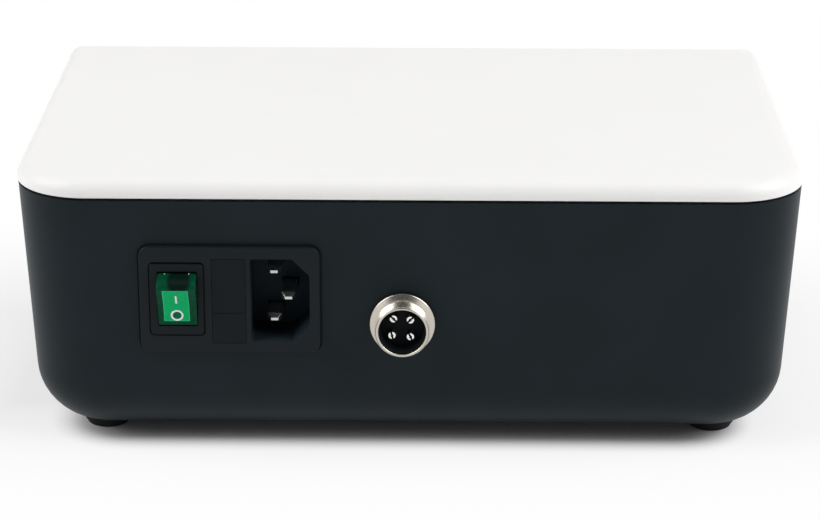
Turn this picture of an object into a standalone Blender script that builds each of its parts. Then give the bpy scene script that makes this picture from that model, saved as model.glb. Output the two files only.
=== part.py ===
"""Desktop control unit of a brushless dental micromotor.

Lengths are metres and +Z is up. +Y is the rear, where the mains inlet and the pedal socket
are, and -Y is the front with the knob. The origin is on the bench, under the middle of the
unit's outline, which the knob and the pedal socket end at front and rear.
"""
import math

import bmesh
import bpy

# Fits shared by every piece
clearance = 0.0003
cut_overrun = 0.0010
merge_distance = 0.00001
smallest_corner = 0.0012

# White lid
lid_width = 0.2180
lid_thickness = 0.0045
lid_edge_radius = 0.0042
lid_roof = 0.0024
lid_overhang = 0.00037
lid_lip_depth = 0.0035
lid_lip_thickness = 0.0016

# Black case. Its sides lean in going down, and the rear and front walls stand upright.
case_depth = 0.1363
case_height = 0.0715
case_wall = 0.0030
case_rear_corner = 0.0207
case_front_corner = 0.0040
case_bottom_fillet = 0.0159
seam_gap = 0.00035
side_draft = math.radians(3)
foot_height = 0.0037

# Feet, screw towers and screws at the four corners
corner_inset_x = 0.0225
corner_inset_y = 0.0217
foot_top_radius = 0.0070
foot_bottom_radius = 0.0058
foot_edge = 0.0006
foot_plug_height = 0.0040
foot_pad_radius = 0.0073
tower_radius = 0.0050
tower_drop = 0.0120
tower_shoulder = 0.0030
screw_access_radius = 0.0033
screw_shank_radius = 0.0014
screw_shank_length = 0.0110
screw_head_radius = 0.0027
screw_head_height = 0.0020
screw_socket_radius = 0.0013
screw_socket_depth = 0.0011
lid_boss_radius = 0.0040

# Front panel, let into a rebate round the opening in the front wall
panel_side_margin = 0.0183
panel_top_margin = 0.0030
panel_bottom_margin = 0.0171
panel_thickness = 0.0018
panel_corner = 0.0050
panel_rebate_depth = 0.0009
panel_ledge = 0.0030
board_standoff = 0.0090
post_radius = 0.0020
board_thickness = 0.0016

# Display, in the middle between the handpiece socket and the knob, over the buttons
display_top_margin = 0.0062
display_to_buttons = 0.0055
lens_width = 0.0600
lens_thickness = 0.0007
lens_ledge = 0.0020
lens_corner = 0.0020
display_module_margin = 0.0010

# Control board behind the panel
control_board_side_margin = 0.0100
control_board_top_margin = 0.0052
control_board_bottom_margin = 0.0062
control_board_socket_gap = 0.0015
post_inset = 0.0030
panel_plug_width = 0.0140
panel_plug_height = 0.0080
panel_plug_depth = 0.0060
panel_plug_x = -0.0300
panel_plug_rise = 0.0070

# Speed knob and its potentiometer
knob_inset = 0.0250
knob_radius = 0.0180
knob_skirt_radius = 0.0190
knob_skirt_height = 0.0020
knob_depth = 0.0140
knob_gap = 0.0005
knob_edge = 0.0012
knob_hollow_radius = 0.0095
knob_hollow_depth = 0.0050
knob_ceiling = 0.0030
pointer_width = 0.0014
pointer_length = 0.0090
pointer_depth = 0.0006
knob_flutes = 18
flute_radius = 0.0011
pot_radius = 0.0083
pot_bush_radius = 0.0045
pot_bush_reach = 0.0035
pot_floor = 0.0015
shaft_radius = 0.0030
pot_nut_flats = 0.0130
pot_nut_thickness = 0.0020
knob_turn = 300

# Buttons and the switches that they press
button_bottom_margin = 0.0087
button_pitch = 0.0165
button_width = 0.0110
button_height = 0.0070
button_proud = 0.0012
button_edge = 0.0004
button_flange_rim = 0.0008
button_flange_thickness = 0.0010
button_stem_radius = 0.0018
button_stem_length = 0.0050
tact_size = 0.0064
tact_depth = 0.0038
tact_well_radius = 0.0022
tact_well_depth = 0.0026

# Handpiece socket on the front
motor_socket_inset = 0.0175
motor_flange_radius = 0.0120
motor_flange_thickness = 0.0020
motor_barrel_radius = 0.0095
motor_barrel_wall = 0.0015
motor_barrel_reach = 0.0090
motor_stem_length = 0.0110
motor_rim_chamfer = 0.0005
motor_insert_recess = 0.0015
motor_contact_radius = 0.0009
motor_contact_circle = 0.0044
motor_contact_depth = 0.0060
motor_contact_count = 5
motor_nut_flats = 0.0240
motor_nut_thickness = 0.0030

# Mains module with the switch, the fuse drawer and the inlet
module_inset = 0.0598
module_drop = 0.0290
module_flange_width = 0.0502
module_flange_height = 0.0316
module_flange_thickness = 0.0015
module_flange_corner = 0.0028
module_body_width = 0.0470
module_body_height = 0.0276
module_body_depth = 0.0280
inlet_offset_x = -0.0139
inlet_offset_z = -0.0002
inlet_width = 0.0164
inlet_height = 0.0243
inlet_depth = 0.0155
inlet_corner = 0.0010
inlet_cut_x = 0.0047
inlet_cut_z = 0.0052
mains_pin_width = 0.0040
mains_pin_thickness = 0.0020
mains_pin_spacing = 0.0140
live_pin_offset = 0.0018
earth_pin_offset = 0.0022
live_tip_recess = 0.0052
earth_tip_recess = 0.0034
mains_tab_thickness = 0.0010
mains_tab_length = 0.0080
switch_offset_x = 0.0143
switch_offset_z = 0.0003
bezel_width = 0.0151
bezel_height = 0.0210
bezel_proud = 0.0010
bezel_corner = 0.0010
switch_body_width = 0.0130
switch_body_height = 0.0188
switch_body_depth = 0.0150
switch_floor = 0.0014
rocker_width = 0.0103
rocker_radius = 0.0075
rocker_half_length = 0.00645
rocker_front = 0.0038
rocker_back = 0.0032
rocker_valley = math.radians(9)
rocker_tilt = math.radians(22)
rocker_pivot_depth = 0.0018
axle_radius = 0.0008
axle_length = 0.0008
lamp_radius = 0.0014
lamp_length = 0.0090
spade_width = 0.0048
spade_thickness = 0.0008
spade_length = 0.0070
spade_spacing = 0.0065
drawer_offset_x = 0.0005
drawer_offset_z = -0.0004
drawer_width = 0.0092
drawer_height = 0.0246
drawer_depth = 0.0230
drawer_notch_height = 0.0012
drawer_notch_depth = 0.0007
drawer_notch_rise = 0.0083
fuse_radius = 0.0026
fuse_length = 0.0200
spare_fuse_depth = 0.0070
active_fuse_depth = 0.0170

# Pedal socket on the rear
pedal_to_module = 0.0134
pedal_drop = 0.0360
pedal_flange_radius = 0.0090
pedal_flange_thickness = 0.0018
pedal_barrel_radius = 0.0076
pedal_barrel_reach = 0.0075
pedal_barrel_bore = 0.0066
pedal_rim_chamfer = 0.0005
pedal_relief_depth = 0.0003
pedal_relief_width = 0.0009
pedal_stem_length = 0.0090
pedal_cup_wall = 0.0008
pedal_cup_depth = 0.0075
pedal_pin_radius = 0.00115
pedal_pin_spacing = 0.0050
pedal_pin_recess = 0.0032
pedal_pin_slot = 0.00055
pedal_pin_turn = math.radians(3.4)
pedal_pin_slot_depth = 0.0030
pedal_pin_tail = 0.0035
pedal_nut_flats = 0.0200
pedal_nut_thickness = 0.0030
pedal_slot_degrees = {"pedal_pin_1": -45, "pedal_pin_2": 45, "pedal_pin_3": -76, "pedal_pin_4": -66}

# Boards inside, on bosses that rise from the floor
floor_board_inner_x = 0.0060
floor_board_past_tower = 0.0055
board_tower_gap = 0.0045
board_hole_inset = 0.0050
boss_height = 0.0050
boss_radius = 0.0030
boss_pin_radius = 0.0013
boss_pin_rise = 0.0008
header_height = 0.0090
header_width = 0.0080
header_length = 0.0120
power_side = 1
drive_side = -1

# Parts on the power board
transformer_width = 0.0280
transformer_depth = 0.0200
transformer_height = 0.0260
transformer_yoke = 0.0055
winding_bulge = 0.0025
capacitor_radius = 0.0090
capacitor_height = 0.0320
capacitor_edge = 0.0010
choke_outer_radius = 0.0090
choke_inner_radius = 0.0038
choke_height = 0.0100
choke_edge = 0.0016
power_sink_length = 0.0240
power_sink_height = 0.0260
power_sink_depth = 0.0080
sink_web = 0.0024
fin_thickness = 0.0018
power_fins = 4

# Parts on the drive board
driver_width = 0.0400
driver_depth = 0.0240
driver_height = 0.0050
drive_sink_width = 0.0440
drive_sink_depth = 0.0280
drive_sink_height = 0.0200
drive_fins = 7

# Places on a floor board, as shares of its width going out and of its depth going back
transformer_share = (0.57, 0.30)
power_sink_share = (0.86, 0.30)
capacitor_share = (0.16, 0.70)
choke_share = (0.80, 0.76)
driver_share = (0.50, 0.50)
mains_header_share = (0.36, 0.88)
dc_header_share = (0.08, 0.38)
motor_header_share = (0.90, 0.42)
pedal_header_share = (0.16, 0.88)
panel_header_share = (0.46, 0.09)

# Looms: diameters, straight runs at the ends, and bends as shares of the way between those runs
mains_loom_diameter = 0.0050
dc_loom_diameter = 0.0040
motor_loom_diameter = 0.0050
pedal_loom_diameter = 0.0036
panel_loom_diameter = 0.0036
loom_lead = 0.0070
loom_drop = 0.0050
mains_bend_shares = ((0.25, 0.00, 0.15), (0.80, 0.60, 0.60))
dc_bend_shares = ((0.25, 0.50, -0.60), (0.75, 0.50, 0.20))
motor_bend_shares = ((0.10, 0.35, 0.15), (0.65, 0.75, 0.65))
pedal_bend_shares = ((0.20, 0.30, 0.20), (0.75, 0.80, 0.70))
panel_bend_shares = ((0.25, 0.25, 0.10), (0.75, 0.75, 0.50))
loom_points = 12

# How finely round forms are divided
rear_corner_steps = 7
front_corner_steps = 3
fillet_steps = 5
edge_steps = 4
large_round_steps = 32
round_steps = 18
small_round_steps = 10

# Heights and depths that follow from the sizes above
seam_z = foot_height + case_height
front_reach = panel_thickness - panel_rebate_depth + clearance + knob_gap + knob_depth
rear_reach = pedal_barrel_reach
case_front = front_reach - (case_depth + front_reach + rear_reach) / 2
case_rear = case_front + case_depth
floor_z = foot_height + case_wall
tower_top = seam_z - tower_drop
panel_back = case_front + panel_rebate_depth - clearance
panel_front = panel_back - panel_thickness
control_board_front = panel_back + board_standoff
board_underside = floor_z + boss_height + clearance
board_top = board_underside + board_thickness
header_top = board_top + header_height

# Places that follow from the case
corner_offset_x = lid_width / 2 - corner_inset_x
front_feet_y = case_front + corner_inset_y
rear_feet_y = case_rear - corner_inset_y
module_x = lid_width / 2 - module_inset
module_z = seam_z - module_drop
inlet_x = module_x + inlet_offset_x
inlet_z = module_z + inlet_offset_z
switch_x = module_x + switch_offset_x
switch_z = module_z + switch_offset_z
drawer_x = module_x + drawer_offset_x
drawer_z = module_z + drawer_offset_z
pedal_x = module_x - module_flange_width / 2 - pedal_to_module - pedal_flange_radius
pedal_z = seam_z - pedal_drop
floor_board_width = corner_offset_x + floor_board_past_tower - floor_board_inner_x
floor_board_x = floor_board_inner_x + floor_board_width / 2
floor_board_front = front_feet_y + tower_radius + board_tower_gap
floor_board_depth = rear_feet_y - tower_radius - board_tower_gap - floor_board_front

# Places on the front panel
panel_width = lid_width - 2 * panel_side_margin
panel_height = case_height - panel_top_margin - panel_bottom_margin
panel_bottom = foot_height + panel_bottom_margin
panel_centre_z = panel_bottom + panel_height / 2
motor_socket_x = motor_socket_inset - panel_width / 2
knob_x = panel_width / 2 - knob_inset
display_x = (motor_socket_x + motor_flange_radius + knob_x - knob_skirt_radius) / 2
button_z = panel_bottom + button_bottom_margin + button_height / 2
lens_bottom = button_z + button_height / 2 + display_to_buttons
lens_height = panel_bottom + panel_height - display_top_margin - lens_bottom
display_z = lens_bottom + lens_height / 2
control_board_left = motor_socket_x + motor_barrel_radius + control_board_socket_gap
control_board_width = panel_width / 2 - control_board_side_margin - control_board_left
control_board_x = control_board_left + control_board_width / 2
control_board_bottom = panel_bottom + control_board_bottom_margin
control_board_height = panel_height - control_board_bottom_margin - control_board_top_margin
control_board_z = control_board_bottom + control_board_height / 2
panel_plug_z = control_board_bottom + panel_plug_rise

# Base colour, roughness and metallic value of each finish
finishes = {
    "lid_white": ((0.90, 0.89, 0.87), 0.34, 0.0),
    "case_black": ((0.0153, 0.0212, 0.0273), 0.48, 0.0),
    "panel_black": ((0.012, 0.014, 0.017), 0.22, 0.0),
    "smoked_lens": ((0.010, 0.012, 0.014), 0.08, 0.0),
    "display_frame": ((0.05, 0.055, 0.06), 0.40, 0.0),
    "board_green": ((0.012, 0.10, 0.045), 0.45, 0.0),
    "knob_grey": ((0.035, 0.037, 0.040), 0.38, 0.0),
    "steel": ((0.58, 0.57, 0.55), 0.28, 1.0),
    "nickel": ((0.66, 0.63, 0.59), 0.20, 1.0),
    "button_white": ((0.80, 0.80, 0.79), 0.40, 0.0),
    "part_black": ((0.013, 0.013, 0.014), 0.45, 0.0),
    "module_black": ((0.0125, 0.0155, 0.0180), 0.40, 0.0),
    "rocker_green": ((0.004, 0.25, 0.075), 0.18, 0.0),
    "lamp_glass": ((0.55, 0.75, 0.55), 0.10, 0.0),
    "fuse_glass": ((0.75, 0.78, 0.78), 0.10, 0.0),
    "foot_rubber": ((0.010, 0.010, 0.010), 0.80, 0.0),
    "winding": ((0.75, 0.60, 0.10), 0.50, 0.0),
    "sleeve_blue": ((0.02, 0.04, 0.16), 0.35, 0.0),
    "ferrite": ((0.05, 0.05, 0.05), 0.60, 0.0),
    "aluminium": ((0.75, 0.76, 0.77), 0.35, 1.0),
    "cable_grey": ((0.12, 0.12, 0.12), 0.50, 0.0),
}


def clear_scene():
    """Start from an empty scene."""
    for thing in list(bpy.data.objects):
        bpy.data.objects.remove(thing, do_unlink=True)


def finish_material(name):
    """The named finish as a material, made once."""
    material = bpy.data.materials.get(name)
    if material is None:
        colour, roughness, metallic = finishes[name]
        material = bpy.data.materials.new(name)
        material.use_nodes = True
        shader = material.node_tree.nodes["Principled BSDF"]
        shader.inputs["Base Color"].default_value = (*colour, 1)
        shader.inputs["Roughness"].default_value = roughness
        shader.inputs["Metallic"].default_value = metallic
    return material


def make(name, shape, finish, place=(0, 0, 0), turn=(0, 0, 0)):
    """Turn a bmesh into an object at its place."""
    mesh = bpy.data.meshes.new(name)
    shape.to_mesh(mesh)
    shape.free()
    mesh.materials.append(finish_material(finish))
    piece = bpy.data.objects.new(name, mesh)
    piece.location = place
    piece.rotation_euler = turn
    bpy.context.scene.collection.objects.link(piece)
    return piece


def combine(target, others, operation):
    """Apply one boolean operation with each other object, which is then removed."""
    for other in others:
        other.display_type = "WIRE"
        other.hide_render = True
        step = target.modifiers.new(operation.lower(), "BOOLEAN")
        step.operation = operation
        step.solver = "EXACT"
        step.object = other
    bpy.context.view_layer.update()
    settled = target.evaluated_get(bpy.context.evaluated_depsgraph_get())
    mesh = bpy.data.meshes.new_from_object(settled)
    target.modifiers.clear()
    target.data = mesh
    for other in others:
        bpy.data.objects.remove(other, do_unlink=True)
    return target


def carve(target, *cutters):
    """Cut each cutter out of the target."""
    return combine(target, cutters, "DIFFERENCE")


def weld(target, *pieces):
    """Join each piece to the target as one body."""
    return combine(target, pieces, "UNION")


def loft(rings):
    """A closed skin through rings of equal count, with the first and last rings capped."""
    shape = bmesh.new()
    loops = [[shape.verts.new(point) for point in ring] for ring in rings]
    for lower, upper in zip(loops, loops[1:]):
        for index in range(len(lower)):
            after = (index + 1) % len(lower)
            shape.faces.new((lower[index], lower[after], upper[after], upper[index]))
    shape.faces.new(loops[0])
    shape.faces.new(loops[-1])
    bmesh.ops.recalc_face_normals(shape, faces=shape.faces)
    return shape


def rounded(width, height, radius, steps=front_corner_steps):
    """A rectangle with round corners, centred on zero, as points going round."""
    points = []
    for quarter, (side_u, side_v) in enumerate(((1, 1), (-1, 1), (-1, -1), (1, -1))):
        centre_u = side_u * (width / 2 - radius)
        centre_v = side_v * (height / 2 - radius)
        for step in range(steps + 1):
            angle = math.radians(90 * (quarter + step / steps))
            points.append((centre_u + radius * math.cos(angle), centre_v + radius * math.sin(angle)))
    return points


def square_cut(width, height):
    """A plain rectangle centred on zero, as points going round."""
    return [(width / 2, height / 2), (-width / 2, height / 2),
            (-width / 2, -height / 2), (width / 2, -height / 2)]


def circle(radius, steps=round_steps, first=0):
    """A circle about zero, as points going round."""
    turns = [first + math.tau * step / steps for step in range(steps)]
    return [(radius * math.cos(angle), radius * math.sin(angle)) for angle in turns]


def prism(points, axis, start, end):
    """Push an outline along X, Y or Z, from one place on that axis to another."""
    placed = {"X": lambda u, v, along: (along, u, v),
              "Y": lambda u, v, along: (u, along, v),
              "Z": lambda u, v, along: (u, v, along)}[axis]
    return loft([[placed(u, v, along) for u, v in points] for along in (start, end)])


def block(width, depth, height):
    """A box centred on zero in X and Y, standing on zero."""
    return prism(square_cut(width, depth), "Z", 0, height)


def turned(profile, steps=round_steps, closed=False):
    """Turn (radius, height) points about the Z axis. An open profile ends on the axis."""
    shape = bmesh.new()
    corners = [shape.verts.new((radius, 0, height)) for radius, height in profile]
    pairs = list(zip(corners, corners[1:]))
    if closed:
        pairs.append((corners[-1], corners[0]))
    edges = [shape.edges.new(pair) for pair in pairs]
    bmesh.ops.spin(shape, geom=corners + edges, cent=(0, 0, 0), axis=(0, 0, 1),
                   angle=math.tau, steps=steps, use_merge=True)
    bmesh.ops.remove_doubles(shape, verts=shape.verts, dist=merge_distance)
    bmesh.ops.recalc_face_normals(shape, faces=shape.faces)
    return shape


def arc(centre_u, centre_v, radius, first, last, steps):
    """Points on an arc, from one angle to another in degrees."""
    points = []
    for step in range(steps + 1):
        angle = math.radians(first + (last - first) * step / steps)
        points.append((centre_u + radius * math.cos(angle), centre_v + radius * math.sin(angle)))
    return points


towards_rear = (math.radians(-90), 0, 0)
towards_front = (math.radians(90), 0, 0)


def bore(radius, start, length, place, turn=(0, 0, 0), steps=round_steps):
    """A round cutter that starts a distance along its own axis."""
    return make("bore_cutter", prism(circle(radius, steps), "Z", start, start + length),
                "part_black", place, turn)


def plan_ring(half_width, front_y, rear_y, front_radius, rear_radius, z):
    """One level outline of the case or the lid, with its own front and rear corners."""
    front_radius = max(front_radius, smallest_corner)
    rear_radius = max(rear_radius, smallest_corner)
    corners = ((1, rear_y - rear_radius, rear_radius, 0, rear_corner_steps),
               (-1, rear_y - rear_radius, rear_radius, 90, rear_corner_steps),
               (-1, front_y + front_radius, front_radius, 180, front_corner_steps),
               (1, front_y + front_radius, front_radius, 270, front_corner_steps))
    ring = []
    for side, centre_y, radius, first, steps in corners:
        centre_x = side * (half_width - radius)
        for x, y in arc(centre_x, centre_y, radius, first, first + 90, steps):
            ring.append((x, y, z))
    return ring


def case_ring(drop, inset):
    """The case's outline at a drop below the seam, moved in by an inset."""
    half_width = lid_width / 2 - lid_overhang - math.tan(side_draft) * drop - inset
    return plan_ring(half_width, case_front + inset, case_rear - inset,
                     case_front_corner - inset, case_rear_corner - inset, seam_z - drop)


def fillet_rings(bottom_drop, radius, wall):
    """Rings down the round bottom edge, to the flat bottom."""
    rings = []
    for step in range(fillet_steps + 1):
        angle = math.radians(90 * step / fillet_steps)
        drop = bottom_drop - radius + radius * math.sin(angle)
        rings.append(case_ring(drop, wall + radius * (1 - math.cos(angle))))
    return rings


def corner_places():
    """The names and places of the four corners that hold a foot, a tower and a screw."""
    return (("front_left", -corner_offset_x, front_feet_y),
            ("front_right", corner_offset_x, front_feet_y),
            ("rear_left", -corner_offset_x, rear_feet_y),
            ("rear_right", corner_offset_x, rear_feet_y))


def board_corners(side):
    """Where the bosses hold the floor board on one side of the case."""
    reach_x = floor_board_width / 2 - board_hole_inset
    reach_y = floor_board_depth / 2 - board_hole_inset
    centre_y = floor_board_front + floor_board_depth / 2
    return [(side * floor_board_x + side_x * reach_x, centre_y + side_y * reach_y)
            for side_x in (-1, 1) for side_y in (-1, 1)]


def on_board(side, place_share):
    """A place on the floor board on one side, from shares of its width and depth."""
    out_share, back_share = place_share
    x = side * (floor_board_inner_x + out_share * floor_board_width)
    return x, floor_board_front + back_share * floor_board_depth


def lower_case():
    """The black tub, with its bosses, screw towers, foot pads and wall openings."""
    outer = [case_ring(seam_gap, 0)] + fillet_rings(case_height, case_bottom_fillet, 0)
    inner = [case_ring(seam_gap, case_wall)]
    inner += fillet_rings(case_height - case_wall, case_bottom_fillet - case_wall, case_wall)
    tub = make("lower_case", loft(inner[::-1] + outer), "case_black")
    posts = []
    half_wall = case_wall / 2
    for _, x, y in corner_places():
        tower = prism(circle(tower_radius), "Z", foot_height + half_wall, tower_top)
        posts.append(make("tower", tower, "case_black", (x, y, 0)))
        pad = prism(circle(foot_pad_radius), "Z", foot_height, foot_height + half_wall)
        posts.append(make("foot_pad", pad, "case_black", (x, y, 0)))
    pin_top = board_top + boss_pin_rise
    for x, y in board_corners(power_side) + board_corners(drive_side):
        profile = [(0, foot_height + half_wall), (boss_radius, foot_height + half_wall),
                   (boss_radius, floor_z + boss_height), (boss_pin_radius, floor_z + boss_height),
                   (boss_pin_radius, pin_top), (0, pin_top)]
        posts.append(make("boss", turned(profile, small_round_steps), "case_black", (x, y, 0)))
    weld(tub, *posts)
    cutters = []
    for _, x, y in corner_places():
        access_length = tower_top - tower_shoulder - foot_height + cut_overrun
        cutters.append(bore(screw_access_radius, foot_height - cut_overrun, access_length, (x, y, 0)))
        cutters.append(bore(screw_shank_radius + clearance, foot_height, case_height, (x, y, 0),
                            steps=small_round_steps))
    cutters += wall_cutters()
    return carve(tub, *cutters)


def wall_cutters():
    """The module's cut-out, the pedal socket's hole, and the front opening with its rebate."""
    module = rounded(module_body_width + 2 * clearance, module_body_height + 2 * clearance,
                     module_flange_corner)
    rear_start = case_rear - case_wall - cut_overrun
    module_cut = make("module_cutter", prism(module, "Y", rear_start, case_rear + cut_overrun),
                      "part_black", (module_x, 0, module_z))
    socket_cut = bore(pedal_barrel_radius + clearance, rear_start, case_wall + 2 * cut_overrun,
                      (pedal_x, 0, pedal_z), towards_rear, large_round_steps)
    opening = rounded(panel_width - 2 * panel_ledge, panel_height - 2 * panel_ledge, panel_corner)
    rebate = rounded(panel_width + 2 * clearance, panel_height + 2 * clearance,
                     panel_corner + clearance)
    front_start = case_front - cut_overrun
    opening_cut = make("opening_cutter",
                       prism(opening, "Y", front_start, case_front + case_wall + cut_overrun),
                       "part_black", (0, 0, panel_centre_z))
    rebate_cut = make("rebate_cutter", prism(rebate, "Y", front_start, case_front + panel_rebate_depth),
                      "part_black", (0, 0, panel_centre_z))
    return [module_cut, socket_cut, opening_cut, rebate_cut]


def lid_ring(z, inset):
    """The lid's outline at a height above the seam, moved in by an inset."""
    return plan_ring(lid_width / 2 - inset, case_front - lid_overhang + inset,
                     case_rear + lid_overhang - inset, case_front_corner + lid_overhang - inset,
                     case_rear_corner + lid_overhang - inset, seam_z + z)


def top_cover():
    """The white lid, with a lip inside the case and a boss over each screw tower."""
    lip_fit = clearance + lid_lip_depth * math.tan(side_draft)
    lip_outside = lid_overhang + case_wall + lip_fit
    lip_inside = lip_outside + lid_lip_thickness
    rings = [lid_ring(lid_thickness - lid_roof, lip_inside), lid_ring(-lid_lip_depth, lip_inside),
             lid_ring(-lid_lip_depth, lip_outside), lid_ring(0, lip_outside), lid_ring(0, 0)]
    for step in range(edge_steps + 1):
        angle = math.radians(90 * step / edge_steps)
        rise = lid_thickness - lid_edge_radius + lid_edge_radius * math.sin(angle)
        rings.append(lid_ring(rise, lid_edge_radius * (1 - math.cos(angle))))
    lid = make("top_cover", loft(rings), "lid_white")
    boss_bottom = tower_top + clearance
    boss_top = seam_z + lid_thickness - lid_roof / 2
    bosses = []
    holes = []
    for _, x, y in corner_places():
        boss = prism(circle(lid_boss_radius), "Z", boss_bottom, boss_top)
        bosses.append(make("boss", boss, "lid_white", (x, y, 0)))
        holes.append(bore(screw_shank_radius + clearance, boss_bottom - cut_overrun,
                          screw_shank_length + cut_overrun, (x, y, 0), steps=small_round_steps))
    weld(lid, *bosses)
    return carve(lid, *holes)


def foot(name, x, y):
    """A rubber foot whose plug closes the screw's access hole."""
    top = foot_height - clearance
    plug_radius = screw_access_radius - clearance
    profile = [(0, 0), (foot_bottom_radius - foot_edge, 0), (foot_bottom_radius, foot_edge),
               (foot_top_radius, top), (plug_radius, top), (plug_radius, top + foot_plug_height),
               (0, top + foot_plug_height)]
    return make(name, turned(profile), "foot_rubber", (x, y, 0))


def case_screw(name, x, y):
    """A screw that pulls the lid's boss down on the tower's shoulder."""
    head_top = tower_top - tower_shoulder - clearance
    profile = [(0, head_top - screw_head_height), (screw_head_radius, head_top - screw_head_height),
               (screw_head_radius, head_top), (screw_shank_radius, head_top),
               (screw_shank_radius, head_top + screw_shank_length), (0, head_top + screw_shank_length)]
    screw = make(name, turned(profile, small_round_steps), "steel", (x, y, 0))
    socket_start = head_top - screw_head_height - cut_overrun
    socket_cut = bore(screw_socket_radius, socket_start, screw_socket_depth + cut_overrun,
                      (x, y, 0), steps=6)
    return carve(screw, socket_cut)


def front_panel():
    """The front fascia, with its openings and the posts that carry the control board."""
    outline = rounded(panel_width, panel_height, panel_corner, rear_corner_steps)
    panel = make("front_panel", prism(outline, "Y", panel_front, panel_back), "panel_black",
                 (0, 0, panel_centre_z))
    posts = []
    post_end = control_board_front - clearance
    for x, z in control_board_posts():
        post = prism(circle(post_radius, small_round_steps), "Y",
                     panel_back - panel_thickness / 2, post_end)
        posts.append(make("post", post, "panel_black", (x, 0, z)))
    weld(panel, *posts)
    through = (panel_front - cut_overrun, panel_back + cut_overrun)
    window = rounded(lens_width - 2 * lens_ledge, lens_height - 2 * lens_ledge, lens_corner)
    recess = rounded(lens_width + 2 * clearance, lens_height + 2 * clearance, lens_corner + clearance)
    recess_end = panel_front + lens_thickness + clearance
    display_place = (display_x, 0, display_z)
    cutters = [make("window_cutter", prism(window, "Y", *through), "part_black", display_place),
               make("recess_cutter", prism(recess, "Y", through[0], recess_end), "part_black",
                    display_place)]
    for _, x in button_places():
        hole = rounded(button_width + 2 * clearance, button_height + 2 * clearance,
                       button_height / 2)
        cutters.append(make("button_cutter", prism(hole, "Y", *through), "part_black", (x, 0, button_z)))
    for radius, x in ((pot_bush_radius, knob_x), (motor_barrel_radius, motor_socket_x)):
        hole = prism(circle(radius + clearance, large_round_steps), "Y", *through)
        cutters.append(make("round_cutter", hole, "part_black", (x, 0, panel_centre_z)))
    return carve(panel, *cutters)


def control_board_posts():
    """Where the panel's posts meet the control board."""
    reach_x = control_board_width / 2 - post_inset
    reach_z = control_board_height / 2 - post_inset
    return [(control_board_x + side_x * reach_x, control_board_z + side_z * reach_z)
            for side_x in (-1, 1) for side_z in (-1, 1)]


def button_places():
    """The buttons' names and places, from left to right as seen from the front."""
    names = ("run", "direction", "pedal", "memory")
    first_x = display_x - button_pitch * (len(names) - 1) / 2
    return [(name, first_x + index * button_pitch) for index, name in enumerate(names)]


def display_window():
    """The smoked lens over the display."""
    outline = rounded(lens_width, lens_height, lens_corner)
    return make("display_window", prism(outline, "Y", panel_front, panel_front + lens_thickness),
                "smoked_lens", (display_x, 0, display_z))


def display_module():
    """The lit display, which stands on the control board behind the window."""
    width = lens_width - 2 * display_module_margin
    height = lens_height + 2 * display_module_margin
    return make("display_module",
                prism(square_cut(width, height), "Y", panel_back + clearance,
                      control_board_front - clearance),
                "display_frame", (display_x, 0, display_z))


def control_board():
    """The upright board behind the panel, with the plug of its loom on the back."""
    back = control_board_front + board_thickness
    board = make("control_board",
                 prism(square_cut(control_board_width, control_board_height), "Y",
                       control_board_front, back),
                 "board_green", (control_board_x, 0, control_board_z))
    plug = make("plug",
                prism(square_cut(panel_plug_width, panel_plug_height), "Y",
                      back - board_thickness / 2, back + panel_plug_depth),
                "board_green", (panel_plug_x, 0, panel_plug_z))
    return weld(board, plug)


def speed_knob():
    """The knob, hollow behind so that it clears the nut, with a blind bore for the shaft."""
    side_top = knob_depth - knob_edge
    bore_radius = shaft_radius + clearance
    profile = [(knob_hollow_radius, 0), (knob_skirt_radius, 0), (knob_skirt_radius, knob_skirt_height),
               (knob_radius, knob_skirt_height + knob_edge), (knob_radius, side_top),
               (knob_radius - knob_edge, knob_depth), (0, knob_depth), (0, knob_depth - knob_ceiling),
               (bore_radius, knob_depth - knob_ceiling), (bore_radius, knob_hollow_depth),
               (knob_hollow_radius, knob_hollow_depth)]
    knob = make("speed_knob", turned(profile, 2 * knob_flutes, closed=True), "knob_grey",
                (knob_x, panel_front - knob_gap, panel_centre_z), towards_front)
    flute_start = knob_skirt_height + 2 * knob_edge
    cutters = []
    for index in range(knob_flutes):
        angle = math.tau * (index + 1 / 2) / knob_flutes
        place = (knob_x + knob_radius * math.cos(angle), panel_front - knob_gap,
                 panel_centre_z + knob_radius * math.sin(angle))
        cutters.append(bore(flute_radius, flute_start, knob_depth, place, towards_front, 6))
    pointer = block(pointer_width, pointer_length, pointer_depth + cut_overrun)
    pointer_x, pointer_z = knob_pointer_offset()
    cutters.append(make("pointer_cutter", pointer, "part_black",
                        (knob_x + pointer_x, panel_front - knob_gap - knob_depth + pointer_depth,
                         panel_centre_z + pointer_z),
                        (towards_front[0], math.radians(-knob_turn / 2), 0)))
    return carve(knob, *cutters)


def knob_pointer_offset():
    """Where the pointer's middle lies at the lowest speed, from the knob's axis."""
    reach = knob_radius - knob_edge - pointer_length / 2
    lowest = math.radians(knob_turn / 2)
    return -reach * math.sin(lowest), reach * math.cos(lowest)


def speed_pot():
    """The potentiometer behind the panel, with its threaded bush through it."""
    body_depth = board_standoff - 2 * clearance
    bush_end = body_depth + clearance + panel_thickness + pot_bush_reach
    bore_radius = shaft_radius + clearance
    profile = [(0, 0), (pot_radius, 0), (pot_radius, body_depth), (pot_bush_radius, body_depth),
               (pot_bush_radius, bush_end), (bore_radius, bush_end), (bore_radius, pot_floor),
               (0, pot_floor)]
    return make("speed_pot", turned(profile), "steel",
                (knob_x, control_board_front - clearance, panel_centre_z), towards_front)


def pot_shaft():
    """The shaft that the knob turns in the potentiometer."""
    start = control_board_front - clearance - pot_floor - clearance
    end = panel_front - knob_gap - knob_depth + knob_ceiling + clearance
    return make("pot_shaft", prism(circle(shaft_radius), "Z", 0, start - end), "steel",
                (knob_x, start, panel_centre_z), towards_front)


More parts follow.
